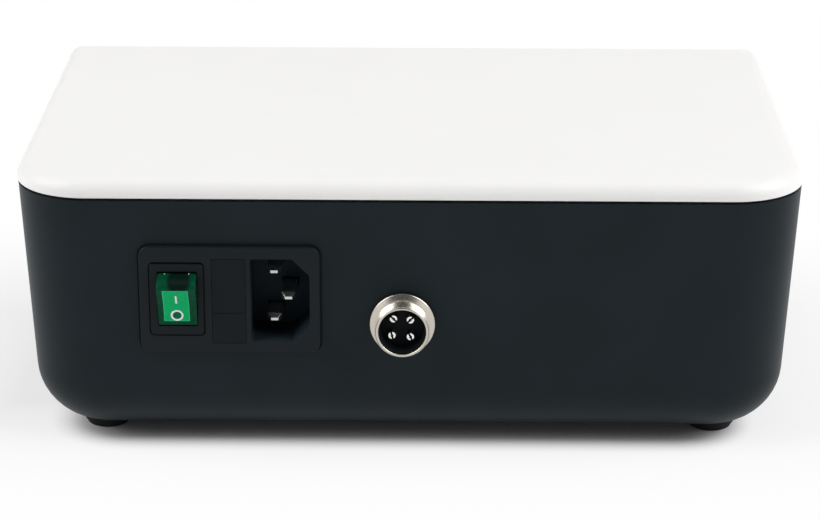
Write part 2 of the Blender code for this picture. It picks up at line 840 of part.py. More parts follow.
def hex_nut(name, flats, thickness, bore_radius, finish, place, turn):
    """A six-sided nut with a round bore."""
    nut = make(name, prism(circle(flats / math.sqrt(3), 6), "Z", 0, thickness), finish, place, turn)
    hole = bore(bore_radius + clearance, -cut_overrun, thickness + 2 * cut_overrun, place, turn)
    return carve(nut, hole)


def button(name, x):
    """A button, kept behind the panel by its flange, with a stem into the switch."""
    cap_front = panel_front - button_proud
    flange_front = panel_back + clearance
    cap = rounded(button_width, button_height, button_height / 2 - clearance)
    face = rounded(button_width - 2 * button_edge, button_height - 2 * button_edge,
                   button_height / 2 - clearance - button_edge)
    rim = 2 * button_flange_rim
    flange = rounded(button_width + rim, button_height + rim, button_height / 2)
    levels = ((face, cap_front), (cap, cap_front + button_edge), (cap, flange_front),
              (flange, flange_front), (flange, flange_front + button_flange_thickness))
    rings = [[(x + u, y, button_z + v) for u, v in points] for points, y in levels]
    piece = make(name, loft(rings), "button_white")
    stem_start = flange_front + button_flange_thickness / 2
    stem = prism(circle(button_stem_radius, small_round_steps), "Y", stem_start,
                 flange_front + button_flange_thickness + button_stem_length)
    return weld(piece, make("stem", stem, "button_white", (x, 0, button_z)))


def tact_switch(name, x):
    """The switch on the board that a button's stem presses."""
    back = control_board_front - clearance
    front = back - tact_depth
    body = make(name, prism(square_cut(tact_size, tact_size), "Y", front, back), "part_black",
                (x, 0, button_z))
    well = prism(circle(tact_well_radius, small_round_steps), "Y", front - cut_overrun,
                 front + tact_well_depth)
    return carve(body, make("well_cutter", well, "part_black", (x, 0, button_z)))


def motor_socket():
    """The handpiece socket: metal shell, insert with five contact holes, and nut."""
    place = (motor_socket_x, panel_front - clearance, panel_centre_z)
    bore_radius = motor_barrel_radius - motor_barrel_wall
    stem_end = -clearance - panel_thickness - motor_stem_length
    rim = motor_barrel_reach
    profile = [(bore_radius, stem_end), (motor_barrel_radius, stem_end), (motor_barrel_radius, 0),
               (motor_flange_radius, 0), (motor_flange_radius, motor_flange_thickness),
               (motor_barrel_radius, motor_flange_thickness),
               (motor_barrel_radius, rim - motor_rim_chamfer),
               (motor_barrel_radius - motor_rim_chamfer, rim), (bore_radius, rim)]
    make("motor_socket_shell", turned(profile, large_round_steps, closed=True), "nickel",
         place, towards_front)
    insert_radius = bore_radius - clearance
    face = rim - motor_insert_recess
    insert = make("motor_socket_insert",
                  prism(circle(insert_radius, large_round_steps), "Z", stem_end, face),
                  "part_black", place, towards_front)
    holes = []
    for u, v in circle(motor_contact_circle, motor_contact_count, math.radians(90)):
        spot = (motor_socket_x + u, place[1], panel_centre_z + v)
        holes.append(bore(motor_contact_radius, face - motor_contact_depth,
                          motor_contact_depth + cut_overrun, spot, towards_front, small_round_steps))
    carve(insert, *holes)
    hex_nut("motor_socket_nut", motor_nut_flats, motor_nut_thickness, motor_barrel_radius, "nickel",
            (motor_socket_x, panel_back + clearance, panel_centre_z), towards_rear)


def inlet_outline(grow=0):
    """The inlet's cavity seen from the rear wall's inside, with its two cut corners."""
    left = -inlet_width / 2 - grow
    right = inlet_width / 2 + grow
    top = inlet_height / 2 + grow
    bend = right - inlet_corner
    lift = top - inlet_corner
    points = arc(bend, lift, inlet_corner, 0, 90, front_corner_steps)
    points += [(left + inlet_cut_x, top), (left, top - inlet_cut_z)]
    points += [(left, -top + inlet_cut_z), (left + inlet_cut_x, -top)]
    points += arc(bend, -lift, inlet_corner, 270, 360, front_corner_steps)
    return points


def mains_pins():
    """The names, places and tip depths of the inlet's three pins."""
    return (("line_pin", inlet_x + live_pin_offset, inlet_z + mains_pin_spacing / 2, live_tip_recess),
            ("neutral_pin", inlet_x + live_pin_offset, inlet_z - mains_pin_spacing / 2, live_tip_recess),
            ("earth_pin", inlet_x - earth_pin_offset, inlet_z, earth_tip_recess))


def module_face():
    """How far back the mains module's face is."""
    return case_rear + clearance + module_flange_thickness


def inlet_housing():
    """The mains module's body, with bays for the switch, the fuse drawer and the inlet."""
    face = module_face()
    flange_back = case_rear + clearance
    body_end = face - module_body_depth
    flange = rounded(module_flange_width, module_flange_height, module_flange_corner, edge_steps)
    housing = make("inlet_housing", prism(flange, "Y", flange_back, face), "module_black",
                   (module_x, 0, module_z))
    body = rounded(module_body_width, module_body_height, module_flange_corner - clearance)
    half_flange = flange_back + module_flange_thickness / 2
    weld(housing, make("body", prism(body, "Y", body_end, half_flange), "module_black",
                       (module_x, 0, module_z)))
    out = face + cut_overrun
    switch_bay = square_cut(switch_body_width + 2 * clearance, switch_body_height + 2 * clearance)
    drawer_bay = square_cut(drawer_width + 2 * clearance, drawer_height + 2 * clearance)
    drawer_end = face - drawer_depth - clearance
    cutters = [make("switch_cutter", prism(switch_bay, "Y", body_end - cut_overrun, out), "part_black",
                    (switch_x, 0, switch_z)),
               make("drawer_cutter", prism(drawer_bay, "Y", drawer_end, out), "part_black",
                    (drawer_x, 0, drawer_z)),
               make("inlet_cutter", prism(inlet_outline(), "Y", face - inlet_depth, out), "part_black",
                    (inlet_x, 0, inlet_z))]
    pin_hole = square_cut(mains_pin_width + 2 * clearance, mains_pin_thickness + 2 * clearance)
    for _, x, z, _ in mains_pins():
        hole = prism(pin_hole, "Y", body_end - cut_overrun, face - inlet_depth + cut_overrun)
        cutters.append(make("pin_cutter", hole, "part_black", (x, 0, z)))
    return carve(housing, *cutters)


def mains_pin(name, x, z, recess):
    """A flat pin, thinned behind the housing to the tab that the loom connects to."""
    body_end = module_face() - module_body_depth
    blade = square_cut(mains_pin_width, mains_pin_thickness)
    tab = square_cut(mains_pin_width, mains_tab_thickness)
    levels = ((tab, body_end - mains_tab_length), (tab, body_end), (blade, body_end),
              (blade, module_face() - recess))
    rings = [[(x + u, y, z + v) for u, v in points] for points, y in levels]
    return make(name, loft(rings), "nickel")


def switch_body():
    """The switch's bezel and body, open in front for the rocker, with three spade terminals."""
    face = module_face() + clearance + bezel_proud
    bezel_back = module_face() + clearance
    body_end = bezel_back - switch_body_depth
    place = (switch_x, 0, switch_z)
    bezel = rounded(bezel_width, bezel_height, bezel_corner)
    piece = make("switch_body", prism(bezel, "Y", bezel_back, face), "module_black", place)
    body = prism(square_cut(switch_body_width, switch_body_height), "Y",
                 body_end, bezel_back + bezel_proud / 2)
    extras = [make("body", body, "module_black", place)]
    spade = square_cut(spade_width, spade_thickness)
    for step in (-1, 0, 1):
        blade = prism(spade, "Y", body_end - spade_length, body_end + spade_thickness)
        extras.append(make("spade", blade, "module_black",
                           (switch_x, 0, switch_z + step * spade_spacing)))
    weld(piece, *extras)
    well = square_cut(rocker_width + 2 * clearance, 2 * (rocker_radius + clearance))
    well_cut = make("well_cutter", prism(well, "Y", body_end + switch_floor, face + cut_overrun),
                    "part_black", place)
    axle_reach = rocker_width / 2 + axle_length + clearance
    axle_hole = prism(circle(axle_radius + clearance, small_round_steps), "X", -axle_reach, axle_reach)
    axle_cut = make("axle_cutter", axle_hole, "part_black", rocker_pivot())
    return carve(piece, well_cut, axle_cut)


def rocker_pivot():
    """A point on the rocker's pivot axis."""
    return (switch_x, module_face() + clearance + bezel_proud - rocker_pivot_depth, switch_z)


def power_rocker():
    """The rocker at rest in its off position: a drum with a shallow valley across its front."""
    corner_angle = math.degrees(math.atan2(rocker_half_length, rocker_front))
    back_angle = math.degrees(math.acos(-rocker_back / rocker_radius))
    valley = rocker_front - rocker_half_length * math.tan(rocker_valley)
    points = [(valley, 0)]
    points += arc(0, 0, rocker_radius, corner_angle, back_angle, edge_steps)
    points += arc(0, 0, rocker_radius, -back_angle, -corner_angle, edge_steps)
    turn = (-rocker_tilt, 0, 0)
    rocker = make("power_rocker", prism(points, "X", -rocker_width / 2, rocker_width / 2), "rocker_green",
                  rocker_pivot(), turn)
    reach = rocker_width / 2 + axle_length
    axle = prism(circle(axle_radius, small_round_steps), "X", -reach, reach)
    return weld(rocker, make("axle", axle, "rocker_green", rocker_pivot(), turn))


def switch_lamp():
    """The small lamp on the floor of the switch, which lights the rocker."""
    floor = module_face() + clearance - switch_body_depth + switch_floor
    middle = floor + clearance + lamp_radius
    return make("switch_lamp",
                prism(circle(lamp_radius, small_round_steps), "Z", -lamp_length / 2, lamp_length / 2),
                "lamp_glass", (switch_x, middle, switch_z))


def fuse_drawer():
    """The drawer that slides out of the module with its two fuses."""
    face = module_face()
    piece = make("fuse_drawer",
                 prism(square_cut(drawer_width, drawer_height), "Y", face - drawer_depth, face),
                 "module_black", (drawer_x, 0, drawer_z))
    trough = 2 * (fuse_radius + clearance)
    cutters = []
    for depth in (spare_fuse_depth, active_fuse_depth):
        shape = block(trough + cut_overrun, trough, fuse_length + 2 * clearance)
        x = drawer_x - drawer_width / 2 + (trough - cut_overrun) / 2
        z = drawer_z - fuse_length / 2 - clearance
        cutters.append(make("trough_cutter", shape, "part_black", (x, face - depth, z)))
    notch = block(drawer_width + 2 * cut_overrun, 2 * drawer_notch_depth, drawer_notch_height)
    notch_z = drawer_z - drawer_height / 2 + drawer_notch_rise
    cutters.append(make("notch_cutter", notch, "part_black", (drawer_x, face, notch_z)))
    return carve(piece, *cutters)


def fuse(name, depth):
    """A glass fuse, upright in the drawer."""
    x = drawer_x - drawer_width / 2 + clearance + fuse_radius
    return make(name,
                prism(circle(fuse_radius, small_round_steps), "Z", -fuse_length / 2, fuse_length / 2),
                "fuse_glass", (x, module_face() - depth, drawer_z))


def pedal_socket():
    """The round socket for the foot pedal: shell, black cup, four split pins and a nut."""
    place = (pedal_x, case_rear, pedal_z)
    flange_start = clearance
    flange_end = flange_start + pedal_flange_thickness
    rim = pedal_barrel_reach
    relief = pedal_barrel_radius - pedal_relief_depth
    stem_end = -case_wall - pedal_stem_length
    profile = [(pedal_barrel_bore, stem_end), (pedal_barrel_radius, stem_end),
               (pedal_barrel_radius, flange_start), (pedal_flange_radius, flange_start),
               (pedal_flange_radius, flange_end - pedal_rim_chamfer),
               (pedal_flange_radius - pedal_rim_chamfer, flange_end), (relief, flange_end),
               (relief, flange_end + pedal_relief_width),
               (pedal_barrel_radius, flange_end + pedal_relief_width + pedal_relief_depth),
               (pedal_barrel_radius, rim - pedal_rim_chamfer),
               (pedal_barrel_radius - pedal_rim_chamfer, rim), (pedal_barrel_bore, rim)]
    make("pedal_socket_shell", turned(profile, large_round_steps, closed=True), "nickel",
         place, towards_rear)
    cup_radius = pedal_barrel_bore - clearance
    cup_floor = rim - pedal_cup_depth
    cup_profile = [(0, stem_end), (cup_radius, stem_end), (cup_radius, rim - pedal_rim_chamfer),
                   (cup_radius - pedal_cup_wall, rim - pedal_rim_chamfer),
                   (cup_radius - pedal_cup_wall, cup_floor), (0, cup_floor)]
    cup = make("pedal_socket_insert", turned(cup_profile, large_round_steps), "part_black",
               place, towards_rear)
    holes = []
    for _, x, z in pedal_pin_places():
        holes.append(bore(pedal_pin_radius + clearance, stem_end - cut_overrun,
                          cup_floor - stem_end + 2 * cut_overrun, (x, case_rear, z), towards_rear,
                          small_round_steps))
    carve(cup, *holes)
    for name, x, z in pedal_pin_places():
        pedal_pin(name, x, z, stem_end - pedal_pin_tail, rim - pedal_pin_recess)
    hex_nut("pedal_socket_nut", pedal_nut_flats, pedal_nut_thickness, pedal_barrel_radius, "nickel",
            (pedal_x, case_rear - case_wall - clearance, pedal_z), towards_front)


def pedal_pin_places():
    """The four pins, on a slightly turned square about the socket's axis."""
    along = pedal_pin_spacing / 2 * math.cos(pedal_pin_turn)
    aside = pedal_pin_spacing / 2 * math.sin(pedal_pin_turn)
    sides = ((1, 1), (-1, 1), (1, -1), (-1, -1))
    return [(name, pedal_x + side_x * along - side_z * aside, pedal_z + side_x * aside + side_z * along)
            for name, (side_x, side_z) in zip(pedal_slot_degrees, sides)]


def pedal_pin(name, x, z, start, tip):
    """A round pin with a slot across its tip."""
    edge = pedal_pin_slot / 2
    profile = [(0, start), (pedal_pin_radius, start), (pedal_pin_radius, tip - edge),
               (pedal_pin_radius - edge, tip), (0, tip)]
    pin = make(name, turned(profile, small_round_steps), "nickel", (x, case_rear, z), towards_rear)
    slot = prism(square_cut(2 * pedal_pin_radius + 2 * cut_overrun, pedal_pin_slot), "Y",
                 tip - pedal_pin_slot_depth, tip + cut_overrun)
    slot_turn = (0, math.radians(pedal_slot_degrees[name]), 0)
    return carve(pin, make("slot_cutter", slot, "part_black", (x, case_rear, z), slot_turn))


def floor_board(name, side, headers):
    """A board on its bosses, with the headers that the looms plug into."""
    board = make(name, block(floor_board_width, floor_board_depth, board_thickness), "board_green",
                 (side * floor_board_x, floor_board_front + floor_board_depth / 2, board_underside))
    half_board = board_thickness / 2
    tops = []
    for place_share, along_x in headers:
        x, y = on_board(side, place_share)
        width, depth = (header_length, header_width) if along_x else (header_width, header_length)
        shape = block(width, depth, half_board + header_height)
        tops.append(make("header", shape, "board_green", (x, y, board_underside + half_board)))
    weld(board, *tops)
    holes = [bore(boss_pin_radius + clearance, board_underside - cut_overrun,
                  board_thickness + 2 * cut_overrun, (x, y, 0), steps=small_round_steps)
             for x, y in board_corners(side)]
    return carve(board, *holes)


def transformer():
    """A ferrite core round a taped winding that stands out on both sides."""
    place = (*on_board(power_side, transformer_share), board_top + clearance)
    yoke = transformer_yoke
    core = make("transformer", block(transformer_width, transformer_depth, transformer_height),
                "winding", place)
    inner_width = transformer_width - 2 * yoke
    coil_height = transformer_height - 2 * yoke
    coil = prism(rounded(inner_width, transformer_depth + 2 * winding_bulge, winding_bulge), "Z",
                 yoke, yoke + coil_height)
    return weld(core, make("coil", coil, "winding", place))


def bulk_capacitor():
    """The standing reservoir capacitor."""
    rim = capacitor_radius - capacitor_edge
    profile = [(0, 0), (rim, 0), (capacitor_radius, capacitor_edge),
               (capacitor_radius, capacitor_height - capacitor_edge), (rim, capacitor_height),
               (0, capacitor_height)]
    return make("bulk_capacitor", turned(profile), "sleeve_blue",
                (*on_board(power_side, capacitor_share), board_top + clearance))


def line_choke():
    """The ring choke of the mains filter, lying on the board."""
    near = choke_inner_radius + choke_edge
    far = choke_outer_radius - choke_edge
    profile = [(near, 0), (far, 0), (choke_outer_radius, choke_edge),
               (choke_outer_radius, choke_height - choke_edge), (far, choke_height), (near, choke_height),
               (choke_inner_radius, choke_height - choke_edge), (choke_inner_radius, choke_edge)]
    return make("line_choke", turned(profile, closed=True), "ferrite",
                (*on_board(power_side, choke_share), board_top + clearance))


def finned(name, width, length, fins, fin_length, axis, place, turn=(0, 0, 0)):
    """A heatsink: a web with even fins along one side, pushed along an axis."""
    pitch = (width - fin_thickness) / (fins - 1)
    left = -width / 2
    points = [(left, 0)]
    for index in range(fins):
        start = left + index * pitch
        points += [(start, sink_web), (start, sink_web + fin_length)]
        points += [(start + fin_thickness, sink_web + fin_length), (start + fin_thickness, sink_web)]
    points.append((width / 2, 0))
    outline = [point for index, point in enumerate(points)
               if index == 0 or math.dist(point, points[index - 1]) > merge_distance]
    return make(name, prism(outline, axis, 0, length), "aluminium", place, turn)


def heatsinks():
    """The upright heatsink of the power board and the flat one over the motor driver."""
    x, y = on_board(power_side, power_sink_share)
    finned("power_heatsink", power_sink_length, power_sink_height, power_fins, power_sink_depth - sink_web,
           "Z", (x - power_sink_depth / 2, y, board_top + clearance), (0, 0, math.radians(-90)))
    x, y = on_board(drive_side, driver_share)
    finned("drive_heatsink", drive_sink_width, drive_sink_depth, drive_fins, drive_sink_height - sink_web,
           "Y", (x, y - drive_sink_depth / 2, board_top + driver_height + 2 * clearance))


def motor_driver():
    """The three-phase driver module under the drive heatsink."""
    return make("motor_driver", block(driver_width, driver_depth, driver_height), "part_black",
                (*on_board(drive_side, driver_share), board_top + clearance))


def smooth_route(points, count):
    """Even steps along a smooth curve, between straight runs at both ends."""
    spans = len(points) - 3
    route = [points[0]]
    for index in range(count + 1):
        whole = min(int(index * spans / count), spans - 1)
        part = index * spans / count - whole
        place = []
        for a, b, c, d in zip(*points[whole:whole + 4]):
            curve = 2 * b + (c - a) * part + (2 * a - 5 * b + 4 * c - d) * part ** 2
            place.append((curve + (3 * b - a - 3 * c + d) * part ** 3) / 2)
        route.append(place)
    return route + [points[-1]]


def loom(name, diameter, start, away, bend_shares, place):
    """A bundle of wires: straight out of a connector, round its bends, and down to a header."""
    lead = [value + loom_lead * step for value, step in zip(start, away)]
    above = (*place, header_top + clearance + loom_drop)
    bends = [[first + (last - first) * share for first, last, share in zip(lead, above, shares)]
             for shares in bend_shares]
    route = smooth_route([start, lead, *bends, above, (*place, header_top + clearance)], loom_points)
    curve = bpy.data.curves.new(name, "CURVE")
    curve.dimensions = "3D"
    curve.bevel_depth = diameter / 2
    curve.bevel_resolution = 2
    curve.use_fill_caps = True
    spline = curve.splines.new("POLY")
    spline.points.add(len(route) - 1)
    for slot, spot in zip(spline.points, route):
        slot.co = (*spot, 1)
    curve.materials.append(finish_material("cable_grey"))
    piece = bpy.data.objects.new(name, curve)
    bpy.context.scene.collection.objects.link(piece)
    return piece


def looms():
    """The five looms, whose ends stop a clearance from the connectors."""
    back = (0, 1, 0)
    front = (0, -1, 0)
    up = (0, 0, 1)
    tab_end = module_face() - module_body_depth - mains_tab_length - clearance
    loom("mains_loom", mains_loom_diameter, (inlet_x, tab_end, inlet_z), front, mains_bend_shares,
         on_board(power_side, mains_header_share))
    dc_start = (*on_board(power_side, dc_header_share), header_top + clearance)
    loom("dc_loom", dc_loom_diameter, dc_start, up, dc_bend_shares, on_board(drive_side, dc_header_share))
    socket_end = panel_back + motor_stem_length + 2 * clearance
    loom("motor_loom", motor_loom_diameter, (motor_socket_x, socket_end, panel_centre_z), back,
         motor_bend_shares, on_board(drive_side, motor_header_share))
    pins_end = case_rear - case_wall - pedal_stem_length - pedal_pin_tail - clearance
    loom("pedal_loom", pedal_loom_diameter, (pedal_x, pins_end, pedal_z), front, pedal_bend_shares,
         on_board(drive_side, pedal_header_share))
    plug_end = control_board_front + board_thickness + panel_plug_depth + clearance
    loom("panel_loom", panel_loom_diameter, (panel_plug_x, plug_end, panel_plug_z), back,
         panel_bend_shares, on_board(drive_side, panel_header_share))


def build():
    """Make every piece of the unit."""
    clear_scene()
    lower_case()
    top_cover()
    for corner, x, y in corner_places():
        foot("foot_" + corner, x, y)
        case_screw("case_screw_" + corner, x, y)
    front_panel()
    display_window()
    display_module()
    control_board()
    speed_knob()
    speed_pot()
    pot_shaft()
    hex_nut("pot_nut", pot_nut_flats, pot_nut_thickness, pot_bush_radius, "nickel",
            (knob_x, panel_front - clearance, panel_centre_z), towards_front)
    for name, x in button_places():
        button(name + "_button", x)
        tact_switch(name + "_switch", x)
    motor_socket()
    inlet_housing()
    for pin in mains_pins():
        mains_pin(*pin)
    switch_body()
    power_rocker()
    switch_lamp()
    fuse_drawer()
    fuse("active_fuse", active_fuse_depth)
    fuse("spare_fuse", spare_fuse_depth)
    pedal_socket()
    floor_board("power_board", power_side, ((mains_header_share, True), (dc_header_share, False)))
    floor_board("drive_board", drive_side,
                ((dc_header_share, False), (motor_header_share, False),
                 (pedal_header_share, True), (panel_header_share, True)))
    transformer()
    bulk_capacitor()
    line_choke()
    heatsinks()
    motor_driver()
    looms()
    for piece in bpy.context.scene.objects:
        if piece.type == "MESH":
            piece.data.shade_smooth()
            piece.data.set_sharp_from_angle(angle=math.radians(30))


build()
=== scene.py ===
# %% [markdown]
# # The control unit of a dental micromotor
# The object is a desktop box: a white lid on a black tub, with a mains module and a round pedal
# socket on the rear, and a panel with a display, a knob and four buttons on the front. The
# photograph looks down on the rear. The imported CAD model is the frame, and the pieces made here
# are dressed round it, in metres, each where the CAD has it.

# %% Load the frame
import math
import bmesh
import bpy
from mathutils import Matrix, Vector


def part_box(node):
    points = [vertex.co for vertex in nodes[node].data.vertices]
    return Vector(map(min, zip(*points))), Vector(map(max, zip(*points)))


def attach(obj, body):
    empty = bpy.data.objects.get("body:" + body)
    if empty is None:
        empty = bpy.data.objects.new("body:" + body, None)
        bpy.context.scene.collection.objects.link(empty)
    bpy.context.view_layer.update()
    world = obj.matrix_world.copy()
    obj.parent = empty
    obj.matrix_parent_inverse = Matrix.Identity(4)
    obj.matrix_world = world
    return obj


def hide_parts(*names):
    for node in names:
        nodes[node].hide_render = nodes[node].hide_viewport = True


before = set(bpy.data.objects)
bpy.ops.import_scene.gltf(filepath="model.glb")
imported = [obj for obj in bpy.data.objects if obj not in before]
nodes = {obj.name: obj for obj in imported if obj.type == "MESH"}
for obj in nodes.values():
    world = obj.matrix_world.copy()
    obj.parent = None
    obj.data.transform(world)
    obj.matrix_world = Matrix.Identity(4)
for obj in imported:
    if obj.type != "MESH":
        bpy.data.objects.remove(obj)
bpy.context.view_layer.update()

# %% [markdown]
# ## Camera
# A camera could be placed by eye, but this one was solved from the box's own edges in the
# photograph. It gave a long lens, from behind and above, with a hair of roll. A focal length in
# pixels becomes millimetres through the width of the sensor.

# %% The photograph's camera


def new_object(name, data):
    """An object in the scene."""
    made = bpy.data.objects.new(name, data)
    bpy.context.scene.collection.objects.link(made)
    return made


photo_width = 820
focal_pixels = 2620.8
sensor_width = 36.0
camera_place = Vector((-0.0059511, 0.7420429, 0.3084095))
camera_heading = math.pi + 0.0084
camera_dip = 0.3583
camera_roll = 0.0031

lens = bpy.data.cameras.new("photo_camera")
lens.sensor_width = sensor_width
lens.lens = sensor_width * focal_pixels / photo_width
lens.clip_start = 0.01
camera = new_object("photo_camera", lens)
camera.matrix_world = (Matrix.Translation(camera_place) @ Matrix.Rotation(camera_heading, 4, "Z")
                       @ Matrix.Rotation(math.pi / 2 - camera_dip, 4, "X")
                       @ Matrix.Rotation(camera_roll, 4, "Z"))
bpy.context.scene.camera = camera
bpy.context.scene.view_settings.view_transform = "Standard"
print("focal length", round(lens.lens, 2), "mm")

# %% [markdown]
# ## Materials: small tools first
# A plain colour looks like paper. Moulded plastic has a fine spark-eroded grain, a slow change of
# tone and an uneven gloss. One noise in object space can drive all three, so each finish is a few
# numbers: how coarse the grain is, how far the tone and the gloss spread, and how deep it is cut.

# %% Nodes that every finish uses


def new_finish(name):
    """An empty finish with its shader."""
    material = bpy.data.materials.new(name)
    material.use_nodes = True
    return material, material.node_tree.nodes["Principled BSDF"]


def add_node(material, kind, **settings):
    """A node with its settings and socket values. A key of two words names a socket."""
    node = material.node_tree.nodes.new(kind)
    for key, value in settings.items():
        if hasattr(node, key):
            setattr(node, key, value)
        else:
            node.inputs[key.replace("_", " ")].default_value = value
    return node


def join(material, source, target):
    """Link one socket to another."""
    material.node_tree.links.new(source, target)


def on_piece(material):
    """The place of a point on the piece itself."""
    return add_node(material, "ShaderNodeTexCoord").outputs["Object"]


def object_noise(material, scale, detail=3.0):
    """Noise that is fixed to the piece, with its scale in cells per metre."""
    noise = add_node(material, "ShaderNodeTexNoise", Scale=scale, Detail=detail)
    join(material, on_piece(material), noise.inputs["Vector"])
    return noise.outputs[0]


def between(material, source, low, high):
    """Stretch a noise's middle range over two values."""
    stretch = add_node(material, "ShaderNodeMapRange", From_Min=0.3, From_Max=0.7,
                       To_Min=low, To_Max=high)
    join(material, source, stretch.inputs["Value"])
    return stretch.outputs["Result"]


def tint_between(material, source, *colours):
    """Blend two colours by a source from 0 to 1. Each is a socket or three numbers."""
    blend = add_node(material, "ShaderNodeMix", data_type="RGBA")
    join(material, source, blend.inputs[0])
    places = [socket for socket in blend.inputs if socket.type == "RGBA"]
    for place, colour in zip(places, colours):
        if isinstance(colour, bpy.types.NodeSocket):
            join(material, colour, place)
        else:
            place.default_value = (*colour, 1)
    return [socket for socket in blend.outputs if socket.type == "RGBA"][0]


def work_out(material, operation, *values):
    """One step of arithmetic on sockets and numbers."""
    step = add_node(material, "ShaderNodeMath", operation=operation)
    for socket, value in zip(step.inputs, values):
        if isinstance(value, bpy.types.NodeSocket):
            join(material, value, socket)
        else:
            socket.default_value = value
    return step.outputs[0]


print("node tools ready")

# %% Moulded plastic, rubber and metal
grain_scale = 4200.0
cloud_scale = 45.0


def surface(name, colour, roughness, tone=0.08, gloss_spread=0.06, grain=grain_scale,
            depth=0.000012, strength=0.35, metallic=0.0, specular=0.5):
    """A finish whose tone, gloss and grain all come from noise in object space."""
    material, shader = new_finish(name)
    fine = object_noise(material, grain)
    slow = object_noise(material, cloud_scale, 2.0)
    tones = between(material, slow, 0.0, 1.0)
    dark = [value * (1 - tone) for value in colour]
    light = [min(1.0, value * (1 + tone)) for value in colour]
    join(material, tint_between(material, tones, dark, light), shader.inputs["Base Color"])
    gloss = between(material, fine, roughness - gloss_spread, roughness + gloss_spread)
    join(material, gloss, shader.inputs["Roughness"])
    bump = add_node(material, "ShaderNodeBump", Distance=depth, Strength=strength)
    join(material, fine, bump.inputs["Height"])
    join(material, bump.outputs["Normal"], shader.inputs["Normal"])
    shader.inputs["Metallic"].default_value = metallic
    shader.inputs["Specular IOR Level"].default_value = specular
    return material


lid_white = surface("lid_white", (0.905, 0.898, 0.882), 0.42, tone=0.006, strength=0.15)
case_black = surface("case_black", (0.0068, 0.0125, 0.0160), 0.44, tone=0.10, specular=0.14)
module_black = surface("module_black", (0.0068, 0.0105, 0.0132), 0.40, specular=0.14)
bezel_black = surface("bezel_black", (0.0052, 0.0085, 0.0110), 0.40, specular=0.13)
drawer_black = surface("drawer_black", (0.0050, 0.0078, 0.0096), 0.42, specular=0.12)
part_black = surface("part_black", (0.0055, 0.0065, 0.0075), 0.50, specular=0.14)
panel_black = surface("panel_black", (0.011, 0.013, 0.016), 0.24, strength=0.12, specular=0.35)
knob_grey = surface("knob_grey", (0.030, 0.032, 0.036), 0.40, specular=0.35)
button_white = surface("button_white", (0.74, 0.74, 0.73), 0.45, tone=0.01, strength=0.15)
print_white = surface("print_white", (0.86, 0.87, 0.86), 0.55, tone=0.02)
foot_rubber = surface("foot_rubber", (0.010, 0.0105, 0.011), 0.75, specular=0.2, grain=2500.0,
                      depth=0.00003)
steel = surface("steel", (0.58, 0.57, 0.55), 0.30, metallic=1.0, tone=0.04, grain=6000.0)
nickel = surface("nickel", (0.55, 0.51, 0.45), 0.27, metallic=1.0, tone=0.05, grain=6000.0)
tin = surface("tin", (0.84, 0.83, 0.80), 0.26, metallic=1.0, tone=0.03, grain=6000.0)
# The black of the socket inserts. It also paints shade on the walls inside the pedal contacts' slots.
insert_black_and_slot_shade = surface("insert_black_and_slot_shade", (0.0070, 0.0095, 0.0110), 0.6, specular=0.06)
# A lighter, less glossy copy of the module's black for the inside of the inlet. It is painted light,
# set so that the cavity renders an even dark tone.
cavity_painted_light = surface("cavity_painted_light", (0.022, 0.032, 0.040), 0.6, specular=0.03)
aluminium = surface("aluminium", (0.72, 0.73, 0.74), 0.38, metallic=1.0, tone=0.04)
print("finishes", len(bpy.data.materials))

# %% [markdown]
# ## Stage
# The floor is a pale studio sweep. It takes the unit's soft shadow close by and turns to plain
# white with distance for the camera, for gloss and for glass, so that no horizon shows. Two soft
# boxes stand at the unit's upper left and upper right, with a dark card between them, as a
# photographer sets them, so that metal shows bright flanks and a darker top. Views from above go
# through the card, because it is hidden from the camera. A white surround at a plain level fills
# the rest.

# %% Floor


def mesh_of(shape, name):
    """Make a mesh of a shape, which is used up."""
    mesh = bpy.data.meshes.new(name)
    shape.to_mesh(mesh)
    shape.free()
    return mesh


floor_size = 8.0
floor_tone = 0.95
footprint = ((0.0020, 0.0041, 0), (0.0786, 0.0450, 0))
edge_from, edge_by = 0.0123, 0.0238
shadow = ((0.0127, 0.0050, 0), (0.1022, 0.0350, 0))
shadow_by = 0.100
shadow_curve = 0.6
near_share = 0.55

floor_shape = bmesh.new()
bmesh.ops.create_grid(floor_shape, x_segments=4, y_segments=4, size=floor_size / 2)
floor = new_object("floor", mesh_of(floor_shape, "floor"))


def background_rays(tree):
    """Is this a ray that sees the background: from the camera, off gloss or through glass?"""
    path = tree.nodes.new("ShaderNodeLightPath")
    total = None
    for name in ("Is Camera Ray", "Is Glossy Ray", "Is Transmission Ray"):
        if total is None:
            total = path.outputs[name]
            continue
        most = tree.nodes.new("ShaderNodeMath")
        most.operation = "MAXIMUM"
        tree.links.new(total, most.inputs[0])
        tree.links.new(path.outputs[name], most.inputs[1])
        total = most.outputs[0]
    return total


sweep, sweep_shader = new_finish("sweep")
sweep_shader.inputs["Roughness"].default_value = 0.9
sweep_shader.inputs["Specular IOR Level"].default_value = 0.0
sweep_shader.inputs["Base Color"].default_value = (floor_tone, floor_tone, floor_tone, 1)


def distance_from(material, middle, half_size):
    """The distance from a rectangle on the floor."""
    source = on_piece(material)
    for operation, value in (("SUBTRACT", middle), ("ABSOLUTE", None), ("SUBTRACT", half_size),
                             ("MAXIMUM", (0, 0, 0)), ("LENGTH", None)):
        step = add_node(material, "ShaderNodeVectorMath", operation=operation)
        join(material, source, step.inputs[0])
        if value:
            step.inputs[1].default_value = value
        source = step.outputs[0]
    return step.outputs["Value"]


